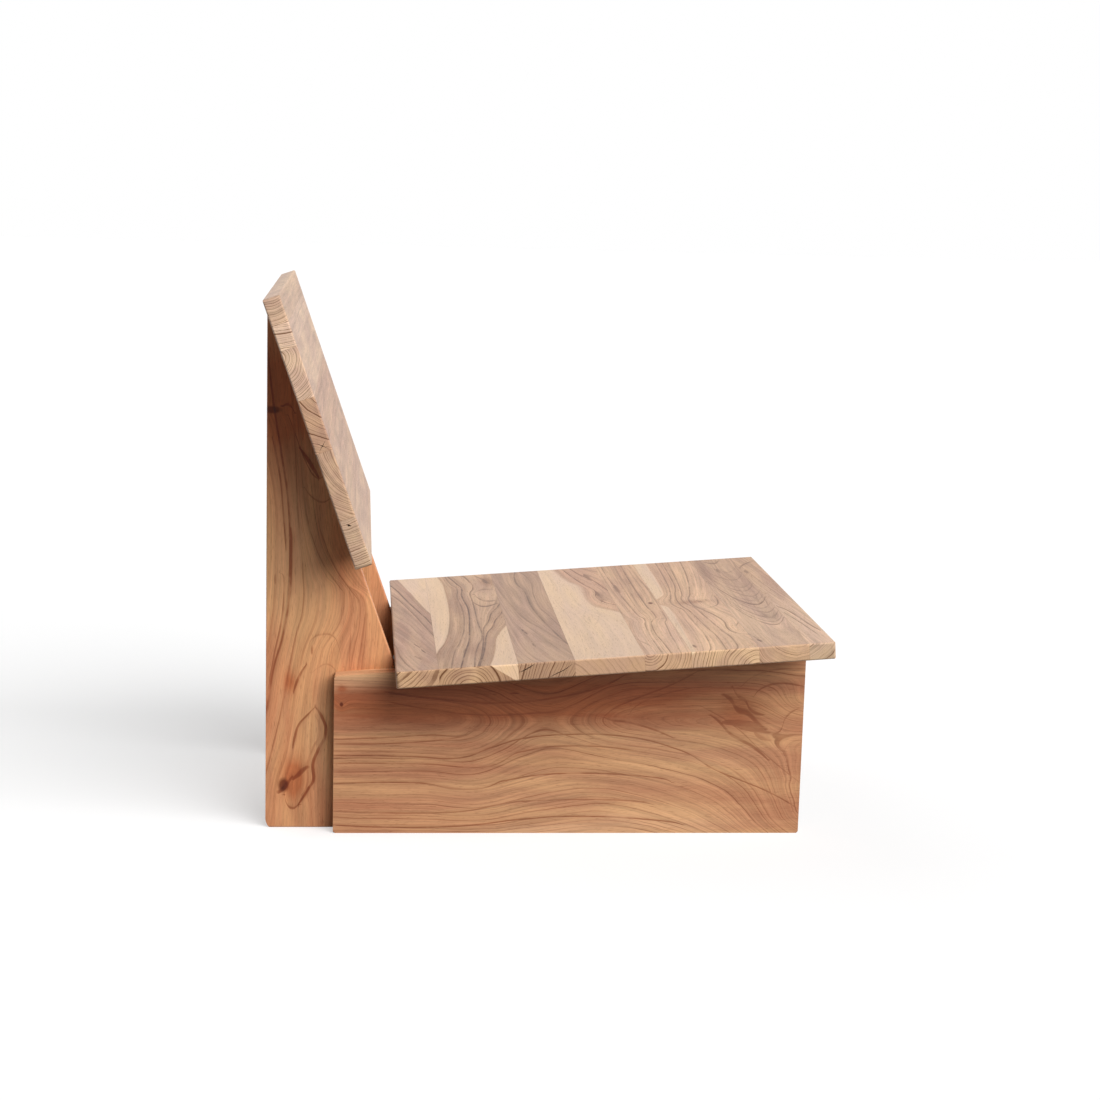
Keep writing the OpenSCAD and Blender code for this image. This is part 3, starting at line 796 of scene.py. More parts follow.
SIDE_FIGURE = Figure(
    pith=(152, 40), ring=5.2, contrast=0.65, least=0.3, bands=0.25, stray=5, uneven=0.6,
    # The dark tone, of the wood's darker bands, is also reddened so that the painted shade under the seat
    # looks warm, standing in for bounce light from the wood
    dark=(0.64, 0.36, 0.28), tint=(0.38, 0.2, 0.14),
    swells=(
        (360, 160, 75, 75, 34), (745, 10, 125, 95, -135), (705, 172, 48, 32, 45), (270, 60, 45, 60, -8),
        (440, 50, 90, 80, 18)),
    knots=((98, 172, 3, 4, 6),),
    lines=(
        drawn(0.6, (88, 125), (150, 128), (215, 132), (250, 131), (262, 142)),
        drawn(0.6, (88, 119), (171, 121), (246, 129), (268, 139)),
        drawn(0.7, (88, 104), (192, 103), (242, 101), (292, 116), (338, 129), (400, 134), (450, 133),
            (530, 116), (588, 86), (659, 56), (700, 33)),
        drawn(0.6, (88, 94), (213, 93), (275, 89), (330, 110), (400, 118), (480, 112)),
        drawn(0.75, (88, 67), (192, 68), (263, 59), (309, 71), (400, 81), (488, 78), (530, 69)),
        drawn(0.55, (88, 29), (234, 28), (338, 43), (450, 45), (505, 39)),
        drawn(0.75, (88, 11), (213, 8), (338, 19), (400, 23), (505, 18), (546, 11)),
        drawn(0.6, (155, 189), (255, 177), (296, 175), (380, 184), (463, 213), width=1.5),
        drawn(0.5, (159, 176), (213, 166), (275, 159), (338, 161), (380, 166)),
        drawn(0.5, (440, 159), (450, 168), (475, 180), (525, 201), (559, 219), width=1.3),
        drawn(0.4, (470, 160), (480, 172), (510, 186), (550, 196)),
        drawn(0.65, (594, 188), (604, 181), (612, 169), (626, 164), (641, 149), (650, 142), width=4.5),
        drawn(0.65, (606, 198), (612, 187), (622, 181), (630, 168), (646, 161), width=3),
        drawn(0.4, (614, 152), (630, 147), (640, 134), (656, 127), width=3.5),
        drawn(0.6, (438, 156), (450, 152), (463, 151), (496, 143), (530, 129), width=1.5),
        drawn(0.7, (317, 188), (323, 188), width=2), drawn(0.5, (617, 199), (650, 219), (700, 223)),
        drawn(0.6, (634, 185), (645, 197), (663, 203), (700, 199), width=1.3),
        drawn(0.5, (663, 136), (671, 141), (676, 156), (692, 169), width=1.8),
        drawn(0.5, (676, 108), (684, 123), (700, 126)),
        drawn(0.65, (578, 160), (590, 151), (604, 136), (617, 128), (634, 119), (656, 100), width=2.6),
        drawn(0.45, (563, 173), (609, 146), (650, 109), (700, 69))),
    # Painted shade: the spots high on the panel at 170, 330 and 500 along deepen and redden the shadow under
    # the seat's overhang, and the lighter one at 120 along, 206 across is painted light beside it. The spots
    # on the knot at 98 along and on the swirl at 615 along are the wood's own tone
    tone_and_shade_patches=(
        (170, 172, 110, 20, 0.8), (330, 178, 110, 24, 1.0), (98, 172, 6, 7, 0.8), (98, 193, 6, 4, 0.5),
        (120, 206, 50, 14, -0.6), (500, 178, 120, 28, 0.45), (615, 165, 30, 26, 0.4),
        (400, 130, 140, 12, -0.2), (560, 100, 120, 40, -0.3), (350, 50, 160, 50, -0.2),
        (400, 3, 100, 8, -0.9), (520, 12, 110, 24, -0.6)))

LEG_FIGURE = Figure(
    # The dark tone, of the wood's darker bands, is also reddened so that the painted shade under the backrest
    # looks warm, standing in for bounce light from the wood
    pith=(74, 12), ring=6, contrast=0.32, bands=0.5, stray=6, uneven=0.7, dark=(0.8, 0.48, 0.38),
    tint=(0.38, 0.19, 0.13),
    courses=(
        drawn(0, (0, -60), (158, -30), (265, 0), (400, 6), (512, -8), (689, -20)),
        drawn(0.8, (0, -40), (158, 1), (212, 10), (265, 24), (312, 30), (388, 30), (427, 28), (496, 18),
            (560, 8), (689, -6), width=1.5),
        drawn(0.5, (0, -20), (138, 16), (196, 27), (254, 38), (308, 48), (331, 47), (420, 40), (500, 36),
            (689, 20), tone=-0.1),
        drawn(0.3, (0, 60), (150, 60), (230, 70), (312, 100), (331, 86), (354, 71), (381, 60), (419, 50),
            (500, 42), (689, 30), tone=-0.1),
        drawn(0.3, (0, 110), (200, 122), (290, 128), (323, 103), (346, 88), (396, 68), (470, 60),
            (689, 50))),
    lines=(
        drawn(0.7, (369, 25), (423, 21), (462, 17), (512, 7), width=1.3),
        drawn(0.9, (300, 29), (330, 31), (370, 31.5), (396, 31), width=2.6),
        drawn(0.6, (165, 1), (231, 11), (281, 21), (308, 23), (331, 23), (338, 17), width=1.2),
        drawn(0.5, (312, 100), (331, 86), (354, 71), (381, 60), (419, 50)),
        drawn(0.5, (304, 118), (323, 103), (346, 88), (396, 68)),
        drawn(0.7, (542, 27), (515, 37), (488, 47), (462, 64), (464, 72), crosswise=True, width=1.6),
        drawn(1, (462, 66), (480, 56), (500, 42), width=3.2),
        drawn(0.5, (450, 48), (435, 61), (431, 71), (435, 80), crosswise=True, width=1.6),
        drawn(0.4, (215, 50), (235, 53), (254, 60), (259, 73), (256, 86), (242, 93), (215, 98),
            crosswise=True, width=1.4),
        drawn(0.8, (182, 36), (204, 44), (218, 52), width=2),
        drawn(0.35, (208, 60), (215, 68), (219, 77), (215, 86), (200, 92), crosswise=True, width=1.3),
        drawn(0.4, (215, 107), (258, 108)), drawn(0.4, (215, 118), (250, 123), (292, 128)),
        drawn(0.9, (31, 43), (54, 57), (65, 63), (85, 62), (104, 68), (131, 78), (146, 74), (162, 64),
            width=2.4),
        drawn(0.8, (108, 35), (119, 37), (138, 43), (150, 53), (162, 64), width=1.8),
        drawn(0.4, (44, 47), (62, 55), (85, 55), (108, 62), (130, 70), (150, 64), width=1.6),
        drawn(0.8, (44, 25), (32, 27), (26, 34), (31, 43), crosswise=True, width=2.4),
        drawn(0.8, (325, 12), (334, 12), width=2.2), drawn(0.7, (235, 59), (240, 59), width=2),
        drawn(0.8, (48, 17), (56, 25), (68, 34), crosswise=True, width=6.0),
        drawn(0.8, (66, 36), (74, 44), (82, 54), crosswise=True, width=6.0),
        drawn(0.8, (545, 35), (555, 28), (553, 20), crosswise=True, width=2.5)),
    knots=((548, 6, 6, 15, 6), (57, 23, 12, 9, 3)),
    # Painted shade and light: the spots at 570 and 370 along darken and redden the shade under the backrest,
    # those at 390 and 310 along lift it, and the one at 110 along, 88 across lifts the side panel's shadow.
    # The spots on the knots at 548 and 66 along are the wood's own tone
    tone_and_shade_patches=(
        (195, 31, 16, 8, 0.8), (548, 10, 40, 30, 0.6), (66, 36, 26, 14, 1.2), (130, 60, 30, 12, -0.3),
        (570, 60, 50, 80, 0.9), (390, 45, 90, 70, -0.5), (310, 40, 50, 60, -0.4), (370, 95, 70, 30, 0.6),
        (110, 88, 60, 14, -1.1)))

RAIL_FIGURE = Figure(pith=(-60, -40), ring=6, contrast=0.5)
CLEAT_FIGURE = Figure(pith=(-50, -30), ring=5, contrast=0.5)


# Finishes

def shade(colour, share=1.0, tint=(1, 1, 1)):
    """A colour with four parts, times a share and a tint."""
    return (*(part * share * t for part, t in zip(colour, tint)), 1)


def value_at(places, here):
    """The value of a chain of places at a position, with straight runs between them."""
    for (a, low), (b, high) in zip(places, places[1:]):
        if here <= b:
            return low + (high - low) * (here - a) / (b - a)
    return places[-1][1]


def mean_gap(first, second, samples=7):
    """Mean distance between two courses, in millimetres."""
    start, end = first.places[0][0], first.places[-1][0]
    spots = [start + (end - start) * (i + 0.5) / samples for i in range(samples)]
    return max(1.0, sum(value_at(second.places, s) - value_at(first.places, s) for s in spots) / samples)


def draw(line, run, off, beyond=0):
    """The mask of one dark line, which may run beyond its ends."""
    first, last = sorted((line.places[0][line.crosswise], line.places[-1][line.crosswise]))
    half = (last - first) / 2 + beyond
    return use("drawn line", Off=off, Run=run, Middle=(first + last) / 2, Half_run=half, Width=line.width,
               Strength=line.strength)["Mask"]


def follow_courses(figure, place, lean=0.8, beyond=20):
    """Distance across the rings where they run between courses, the tone there, the lines and their edges."""
    along, across, depth = place
    courses = figure.courses
    edges = [drawn_curve(along, course.places) for course in courses]
    distance = reckon("MINIMUM", across - edges[0], 0.0) + most(across - edges[-1], 0.0)
    distance = times_plus(depth, lean, distance)
    tone, mask = courses[0].tone, 0.0
    for i, course in enumerate(courses):
        if course.strength:
            mask = most(mask, draw(course, along, across - edges[i], beyond))
        if i + 1 < len(courses):
            share = use("between lines", Here=across, Line=edges[i], Next=edges[i + 1])["Share"]
            distance = times_plus(share, mean_gap(course, courses[i + 1]), distance)
            tone = times_plus(share, courses[i + 1].tone - course.tone, tone)
    return distance, tone, mask, edges


def draw_lines(figure, place, mask):
    """Adds a board's other dark lines to a mask."""
    along, across, _ = place
    for line in figure.lines:
        if line.crosswise:
            places = sorted((across_at, along_at) for along_at, across_at in line.places)
            run, off = across, along - drawn_curve(across, places)
        else:
            run, off = along, across - drawn_curve(along, line.places)
        mask = most(mask, draw(line, run, off))
    return mask


def new_material(name):
    """A new material and its surface."""
    material = bpy.data.materials.new(name)
    material.use_nodes = True
    return material, Node(material.node_tree, material.node_tree.nodes["Principled BSDF"])


def teak(name, grain, colour, figure, seed, thick, seams=None):
    """The material of one board, in its own directions. Seams are its long glued edges, if it has them."""
    material, surface = new_material(name)
    shift = random.Random(seed)
    start = Vector(shift.uniform(0, 80) for _ in range(3))
    position = add(surface.tree, "ShaderNodeTexCoord")["Object"]
    normal = add(surface.tree, "ShaderNodeNewGeometry")["Normal"]
    board = use("board place", Position=position, Along=grain.along, Across=grain.across, Depth=grain.depth,
                Start=grain.start)["Board"]
    stray = use("stray", Board=board, Seed=start, Amount=figure.stray * 2)["Stray"]
    place = parts_of(times_plus(stray, WAVER, board))
    end = use("end grain", Normal=normal, Along=grain.along)["Share"]
    distance = use("pith distance", Board=board, Stray=stray, Pith=(0, *figure.pith),
                   Drift=(0, *figure.drift), Bend=figure.bend)["Distance"]
    sawn_distance, patch, mask, edges = distance, 0.0, 0.0, []
    if figure.courses:
        distance, patch, mask, edges = follow_courses(figure, place)
    mask = draw_lines(figure, place, mask) * use("fading", Board=board, Seed=start)["Fade"]

    def hump(along, across, long, wide, height):
        return use("swell", Board=board, Place=(along, across, 0), Reach=(long, wide, THROUGH),
                   Height=height)["Lift"]

    for swell in figure.swells:
        distance = distance + hump(*swell)
    knot_mask = 0.0
    for along, across, long, wide, height in figure.knots:
        knot = use("knot", Board=board, Stray=stray, Place=(along, across, 0), Size=(long, wide, THROUGH),
                   Lift=height)
        distance = distance + knot["Lift"]
        knot_mask = most(knot_mask, knot["Heart"])

    def rings_at(distance, ring, least):
        return use("growth rings", Board=board, Distance=distance, Ring=ring, Uneven=figure.uneven,
                   Seed=float(seed), Least=least)

    rings = rings_at(distance, figure.ring, figure.least)
    fibre = use("fibre", Board=board, Distance=distance, Seed=start)
    line, ring_tone, streak = rings["Line"], rings["Ring tone"], fibre["Streak"]
    line = most(line * figure.contrast, mask)
    # Where the face follows drawn courses, the end grain still shows the rings round the tree's middle
    sawn = rings
    if figure.courses:
        sawn = rings_at(sawn_distance, figure.ring * END_RING, END_LEAST)
        ring_tone = choose(end, ring_tone, sawn["Ring tone"])
        streak = choose(end, streak, 0.5)
    line = choose(end, line, sawn["Line"] * END_LINE)
    ring_tone = choose(figure.bands, 0.5, ring_tone)
    # Soft spots of the wood's own tone, and of painted shade and painted light where the chair's own parts
    # shade the board
    for spot in figure.tone_and_shade_patches:
        patch = patch + hump(*spot)
    pale = 0.0
    for course, side, shift_down, soft in figure.sapwood:
        beyond = (place[1] - times_plus(thick / MM - place[2], shift_down, edges[course])) * float(side)
        pale = most(pale, use("sapwood", Beyond=beyond, Stray=stray, Soft=soft)["Share"])
    seam = use("glue line", Board=board, Low=seams[0], High=seams[1])["Mask"] if seams else 0.0
    wood = use(
        "teak", Light=shade(colour, LIGHTEST), Dark=shade(colour, 1.0, figure.dark),
        Line_tint=(*figure.tint, 1), Sap=shade(settings().tones.sapwood), Line=line, Ring_tone=ring_tone,
        Patch=patch, Sapwood=pale, Streak=streak, Pore=fibre["Pore"], Cloud=fibre["Cloud"], Knot=knot_mask,
        End=end, End_tint=(*figure.end, 1), Seam=seam)
    surface["Base Color"] = wood["Color"]
    surface["Roughness"] = wood["Roughness"]
    relief = {"Strength": 0.5, "Distance": 0.15 * MM, "Height": wood["Height"]}
    surface["Normal"] = add(surface.tree, "ShaderNodeBump", relief)[0]
    surface["Specular IOR Level"] = 0.25
    return material


def speckled_material(name, fineness, first, second, smooth, rough, metal=0.0):
    """A finish that varies in fine specks between two colours and two roughnesses."""
    material, surface = new_material(name)
    fine = noise(add(surface.tree, "ShaderNodeTexCoord")["Object"] * fineness, 3.0)[0]
    surface["Base Color"] = mix(fine, first, second)
    surface["Roughness"] = step(fine, 0.2, 0.8, smooth, rough)
    surface["Metallic"] = metal
    return material


def zinc_material():
    """Bright zinc plate, slightly mottled."""
    return speckled_material("zinc_plate", 900, (0.50, 0.50, 0.49, 1), (0.66, 0.66, 0.63, 1), 0.26, 0.46, 1.0)


def bark_material():
    """Dark wood inside cracks, knot holes and pockets of bark."""
    return speckled_material("dark_split", 400, (0.035, 0.018, 0.010, 1), (0.16, 0.085, 0.045, 1), 0.75, 0.95)


# Meshes

def rounded(width, height, radius, steps=8):
    """A rectangle with round corners, as a curve."""
    sheet = add(width.tree, "GeometryNodeCurvePrimitiveQuadrilateral", {"Width": width, "Height": height})[0]
    inputs = {"Curve": sheet, "Radius": radius, "Count": steps, "Limit Radius": True}
    return add(width.tree, "GeometryNodeFilletCurve", inputs, mode="POLY")[0]


def prism(start, end, profile):
    """A closed bar from one place to another."""
    line = add(start.tree, "GeometryNodeCurvePrimitiveLine", {"Start": start, "End": end})[0]
    inputs = {"Curve": line, "Profile Curve": profile, "Fill Caps": True}
    return add(start.tree, "GeometryNodeCurveToMesh", inputs)[0]


def end_tree(outs, shape, material):
    """Ends a geometry tree: makes its instances real and gives them their material."""
    real = add(outs.tree, "GeometryNodeRealizeInstances", {"Geometry": shape})[0]
    outs["Geometry"] = add(outs.tree, "GeometryNodeSetMaterial", {"Geometry": real, "Material": material})[0]
    return outs.tree


def build_stave_tree():
    """Geometry nodes of one stave: what three eased bars, laid across each other, have in common."""
    ins, outs = group(
        "glued stave", "Slab width, Slab length, Thickness, Arris, Corner, From, To, Material: material",
        "Geometry: geometry", "GeometryNodeTree")
    width, long, thick, arris = ins["Slab width"], ins["Slab length"], ins["Thickness"], ins["Arris"]
    half_width, half_long, half_thick = width * 0.5, long * 0.5, thick * 0.5
    common = add(ins.tree, "GeometryNodeMeshBoolean", operation="INTERSECT", solver="EXACT")
    common["Mesh 2"] = prism(joined(0.0, ins["From"], half_thick), joined(0.0, ins["To"], half_thick),
                             rounded(width, thick, arris))
    common["Mesh 2"] = prism(joined(width * -0.5, half_long, half_thick),
                             joined(half_width, half_long, half_thick), rounded(long, thick, arris))
    common["Mesh 2"] = prism(joined(0.0, half_long, 0.0), joined(0.0, half_long, thick),
                             rounded(width, long, ins["Corner"]))
    merge = {"Geometry": common[0], "Distance": SAME_POINT}
    return end_tree(outs, add(ins.tree, "GeometryNodeMergeByDistance", merge)[0], ins["Material"])


def set_inputs(modifier, values):
    """Sets a geometry tree's inputs by the identifiers of their sockets."""
    for item in modifier.node_group.interface.items_tree:
        if item.in_out == "INPUT" and item.name in values:
            modifier[item.identifier] = values[item.name]


def new_object(name, data):
    made = bpy.data.objects.new(name, data)
    bpy.context.scene.collection.objects.link(made)
    return made


def as_mesh(made, name):
    """The evaluated mesh of an object, which is then removed."""
    bpy.context.view_layer.update()
    graph = bpy.context.evaluated_depsgraph_get()
    mesh = bpy.data.meshes.new_from_object(made.evaluated_get(graph))
    mesh.name = name
    bpy.data.objects.remove(made)
    return mesh


def grown(name, data, tree, values):
    """The mesh that a geometry tree makes of an object's data."""
    blank = new_object(name, data)
    modifier = blank.modifiers.new(tree.name, "NODES")
    modifier.node_group = tree
    set_inputs(modifier, values)
    return as_mesh(blank, name)


def stave_mesh(name, grain, slab, ends, material):
    """One stave, cut to its place in the slab."""
    sizes = settings().sizes
    low, high = slab
    tree = bpy.data.node_groups.get("glued stave") or build_stave_tree()
    mesh = grown(name, bpy.data.meshes.new(name), tree, {
        "Slab width": high.x - low.x, "Slab length": high.y, "Thickness": high.z, "Arris": sizes.slab_arris,
        "Corner": sizes.slab_corner, "From": ends[0], "To": ends[1], "Material": material,
    })
    mesh.transform(grain.place())
    return mesh


def form_of(mesh):
    """A form to work on, with the mesh's doubles merged."""
    form = bmesh.new()
    form.from_mesh(mesh)
    bmesh.ops.remove_doubles(form, verts=form.verts, dist=SAME_POINT)
    return form


def mesh_of(form, mesh):
    """Turns a form's faces outwards and puts it into a mesh."""
    bmesh.ops.recalc_face_normals(form, faces=form.faces)
    form.to_mesh(mesh)
    form.free()
    return mesh


def band(form, first, second):
    """Joins two rings of points with a band of faces."""
    for i in range(len(first)):
        j = (i + 1) % len(first)
        form.faces.new(list(dict.fromkeys((first[i], first[j], second[j], second[i]))))


def corner_arc(before, corner, after, radius, steps=6):
    """Points of a round corner between two straight runs."""
    back, ahead = (before - corner).normalized(), (after - corner).normalized()
    half = back.angle(ahead) / 2
    middle = corner + (back + ahead).normalized() * radius / math.sin(half)
    run = radius / math.tan(half)
    first, last = corner + back * run - middle, corner + ahead * run - middle
    sweep = first.angle_signed(last)
    return [middle + Matrix.Rotation(-sweep * i / steps, 2) @ first for i in range(steps + 1)]


def plank_mesh(name, outline, thickness, grain, steps=4):
    """A plank from its outline in the along and across directions, with eased arrises."""
    form = bmesh.new()
    lower = [form.verts.new((p.x, p.y, 0)) for p in outline]
    upper = [form.verts.new((p.x, p.y, thickness)) for p in outline]
    rims = [form.faces.new(lower), form.faces.new(list(reversed(upper)))]
    band(form, lower, upper)
    edges = {edge for rim in rims for edge in rim.edges}
    bmesh.ops.bevel(form, geom=list(edges), offset=settings().sizes.plank_arris, segments=steps, profile=0.5,
                    affect="EDGES", clamp_overlap=True)
    mesh = mesh_of(form, bpy.data.meshes.new(name))
    mesh.transform(grain.place())
    return mesh


def cut(mesh, cutters, name):
    """A mesh with other meshes cut out of it. The cut faces keep the cutters' material."""
    base = new_object(name, mesh)
    tools = [new_object("cutter", cutter) for cutter in cutters]
    for tool in tools:
        modifier = base.modifiers.new("cut", "BOOLEAN")
        modifier.operation = "DIFFERENCE"
        modifier.solver = "EXACT"
        modifier.material_mode = "TRANSFER"
        modifier.object = tool
    result = as_mesh(base, name)
    for tool in tools:
        bpy.data.objects.remove(tool)
    return result


def slot_of(node):
    """The record's finish of a node."""
    return next(part["material_slot"] for part in frame["record"]["subparts"] if part["node"] == node)


def finish_piece(node, mesh, kind, sharp=math.radians(35)):
    """Shades the piece that stands for a node, and says what it is. Edges over the angle stay sharp."""
    name = f"{node}_{kind}"
    mesh_of(form_of(mesh), mesh)
    for polygon in mesh.polygons:
        polygon.use_smooth = True
    mesh.set_sharp_from_angle(angle=sharp)
    shaded = new_object(name, mesh)
    even = shaded.modifiers.new("even shading", "WEIGHTED_NORMAL")
    even.keep_sharp = True
    even.weight = 100
    mesh = as_mesh(shaded, name)
    piece = new_object(name, mesh)
    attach(piece, BODY)
    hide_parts(node)
    slot_of(node)


def split_cutter(path, inward, width, deep, material, overlap=0.4 * MM):
    """A blade that follows a path over a face, widest in the middle, and cuts a crack into it."""
    form = bmesh.new()
    rows = []
    for i, place in enumerate(path):
        before, after = path[max(i - 1, 0)], path[min(i + 1, len(path) - 1)]
        side = (after - before).normalized().cross(inward).normalized()
        # The swell of the blade is cut short at both ends, so that its tips aren't points
        share = math.sin(math.pi * (i + 0.15) / (len(path) - 0.7))
        half, depth = width / 2 * max(share, 0.05), deep * max(share, 0.08)
        rows.append([form.verts.new(p) for p in (
            place - side * half - inward * overlap, place + side * half - inward * overlap,
            place + side * half, place + inward * depth, place - side * half)])
    for first, second in zip(rows, rows[1:]):
        band(form, first, second)
    form.faces.new(rows[0])
    form.faces.new(list(reversed(rows[-1])))
    mesh = mesh_of(form, bpy.data.meshes.new("split"))
    mesh.materials.append(material)
    return mesh


def end_splits(figure, grain, material):
    """Blades for the splits in a board's near end, where all staves end."""
    near, place = -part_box("seat_stave_4")[1].x, grain.place()
    blades = []
    for path, width, deep in figure.splits:
        points = [place @ Vector((near, across * MM, depth * MM)) for across, depth in path]
        blades.append(split_cutter(points, grain.along, width * MM, deep * MM, material))
    return blades


def lathe(name, profile, steps=24, thread=None):
    """A closed turned shape about Z from (radius, height) pairs. A thread changes its radius as it turns."""
    form = bmesh.new()
    rings = []
    for radius, height in profile:
        if radius == 0:
            rings.append([form.verts.new((0, 0, height))] * steps)
            continue
        ring = []
        for i in range(steps):
            turn = i / steps
            r = thread(radius, height, turn) if thread else radius
            x, y = r * math.cos(turn * math.tau), r * math.sin(turn * math.tau)
            ring.append(form.verts.new((x, y, height)))
        rings.append(ring)
    for first, second in zip(rings, rings[1:]):
        band(form, first, second)
    return mesh_of(form, bpy.data.meshes.new(name))


def recess_cutter():
    """Cross-shaped tapered bit for the recess in a screw's head."""
    form = bmesh.new()
    # Reach and half width of the cross's arms, and their height, above the head and at the recess's floor
    ends = ((2.2 * MM, 0.5 * MM, -0.5 * MM), (1.2 * MM, 0.35 * MM, 1.4 * MM))
    rings = []
    for arm, half, height in ends:
        ring = []
        for i in range(4):
            turn = Matrix.Rotation(i * math.pi / 2, 3, "Z")
            ring += [form.verts.new(turn @ Vector(p)) for p in
                     ((half, -half, height), (arm, -half, height), (arm, half, height))]
        rings.append(ring)
    band(form, *rings)
    caps = [form.faces.new(ring) for ring in rings]
    bmesh.ops.triangulate(form, faces=caps)
    return mesh_of(form, bpy.data.meshes.new("recess"))


# Shares of a screw: its core's of its width, and its plain shank's of its length
SCREW_CORE, SCREW_SHANK = 0.68, 0.35


def screw_mesh():
    """One countersunk wood screw with its head at zero, pointing along +Z."""
    sizes = settings().sizes
    shank, head = sizes.screw_width / 2, sizes.screw_head / 2
    core, pitch = shank * SCREW_CORE, sizes.screw_pitch
    rim, ease, tip = 0.15 * MM, 0.5 * MM, 4 * MM
    thread_start, thread_end = sizes.screw_length * SCREW_SHANK, sizes.screw_length - ease

    def thread(radius, height, turn):
        """A ridge that winds up the core and runs out on the tip."""
        if not thread_start < height < thread_end:
            return radius
        phase = (height / pitch - turn) % 1.0
        ridge = max(0.0, 1 - abs(phase - 0.5) * 4)
        limit = shank if height < sizes.screw_length - tip else radius * 1.35
        return radius + (limit - radius) * ridge

    profile = [(0, 0), (head - rim, 0), (head, rim), (shank, sizes.screw_head_depth),
               (shank, thread_start - ease), (core, thread_start)]
    # Four rows of points to each turn
    rows = math.ceil((thread_end - thread_start) / pitch * 4)
    for i in range(1, rows + 1):
        height = thread_start + (thread_end - thread_start) * i / rows
        left = sizes.screw_length - height
        profile.append((core * min(1.0, left / tip + 0.1), height))
    profile.append((0, sizes.screw_length))
    return cut(lathe("screw", profile, 12, thread), [recess_cutter()], "screw")


def loose_parts(node):
    """The separate solids of a node, each as a list of its vertices' places."""
    form = form_of(frame["nodes"][node].data)
    form.verts.index_update()
    seen, parts = set(), []
    for first in form.verts:
        if first.index in seen:
            continue
        seen.add(first.index)
        part, queue = [], [first]
        while queue:
            here = queue.pop()
            part.append(here.co.copy())
            for edge in here.link_edges:
                other = edge.other_vert(here)
                if other.index not in seen:
                    seen.add(other.index)
                    queue.append(other)
        parts.append(part)
    form.free()
    return parts


def screw_places(node, grain=None):
    """The head of each screw of a node, and the way that it points, outwards where no grain is given."""
    places = []
    for part in loose_parts(node):
        side = math.copysign(1, sum(p.x for p in part))
        way = grain or Grain(Vector((0, 1, 0)), Vector((0, 0, 1)), Vector((side, 0, 0)), Vector((0, 0, 0)))
        place = way.place()
        back = place.inverted()
        low, high = reach([back @ p for p in part])
        head = place @ Vector(((low.x + high.x) / 2, (low.y + high.y) / 2, low.z))
        places.append((head, way.depth))
    return places


def build_screw_tree():
    """Geometry nodes that set a screw at every point, pointing along its aim, stopped at a chance angle."""
    ins, outs = group("driven screws", "Points: geometry, Screw: object, Seed: whole, Material: material",
                      "Geometry: geometry", "GeometryNodeTree")
    aim = add(ins.tree, "GeometryNodeInputNamedAttribute", {"Name": "aim"}, data_type="FLOAT_VECTOR")[0]
    facing = add(ins.tree, "FunctionNodeAlignRotationToVector", {"Vector": aim}, axis="Z")[0]
    shape = add(ins.tree, "GeometryNodeObjectInfo", {"Object": ins["Screw"]})["Geometry"]
    inputs = {"Points": ins["Points"], "Instance": shape, "Rotation": facing}
    driven = add(ins.tree, "GeometryNodeInstanceOnPoints", inputs)[0]
    inputs = {"Seed": ins["Seed"], 3: math.tau}
    chance = add(ins.tree, "FunctionNodeRandomValue", inputs, data_type="FLOAT")[1]
    inputs = {"Instances": driven, "Rotation": joined(0.0, 0.0, chance), "Local Space": True}
    return end_tree(outs, add(ins.tree, "GeometryNodeRotateInstances", inputs)[0], ins["Material"])


def countersinks(places, gap=0.1 * MM, above=1 * MM, deep=12 * MM):
    """Cutters for the countersunk holes of some screws, which leave a gap round them."""
    sizes = settings().sizes
    head, shank = sizes.screw_head / 2 + gap, sizes.screw_width / 2 + gap
    profile = ((0, -above), (head, -above), (head, 0), (shank, sizes.screw_head_depth), (shank, deep),
               (0, deep))
    cutters = []
    for place, aim in places:
        mesh = lathe("countersink", profile)
        mesh.transform(Matrix.Translation(place) @ aim.to_track_quat("Z", "Y").to_matrix().to_4x4())
        cutters.append(mesh)
    return cutters


# Operators

def build_slab(nodes, grain, figures, first_seed, beyond=50):
    """Builds the staves of one slab. Its own edges aren't glued, so their seams lie beyond them."""
    slab, dark = span(nodes, grain), bark_material()
    for i, (node, figure) in enumerate(zip(nodes, figures)):
        low, high = span([node], grain)
        seams = (low.y / MM if i else -beyond, high.y / MM if i < len(nodes) - 1 else slab[1].y / MM + beyond)
        colour = getattr(settings().tones, node.replace("stave_", ""))
        material = teak(node, grain, colour, figure, first_seed + i, slab[1].z, seams)
        mesh = stave_mesh(node, grain, slab, (low.y, high.y), material)
        mesh_of(form_of(mesh), mesh)
        if figure.splits:
            mesh = cut(mesh, end_splits(figure, grain, dark), node)
        finish_piece(node, mesh, "wood")


class LOUNGE_CHAIR_OT_seat(bpy.types.Operator):
    """Builds the seat's eight staves."""

    bl_idname = "lounge_chair.seat"
    bl_label = "Seat Staves"

    def execute(self, context):
        build_slab(SEAT_STAVES, seat_grain(), SEAT_FIGURES, SEAT_SEED)
        return {"FINISHED"}


class LOUNGE_CHAIR_OT_backrest(bpy.types.Operator):
    """Builds the backrest's six staves."""

    bl_idname = "lounge_chair.backrest"
    bl_label = "Back Staves"

    def execute(self, context):
        build_slab(BACK_STAVES, back_grain(), BACK_FIGURES, BACK_SEED)
        return {"FINISHED"}


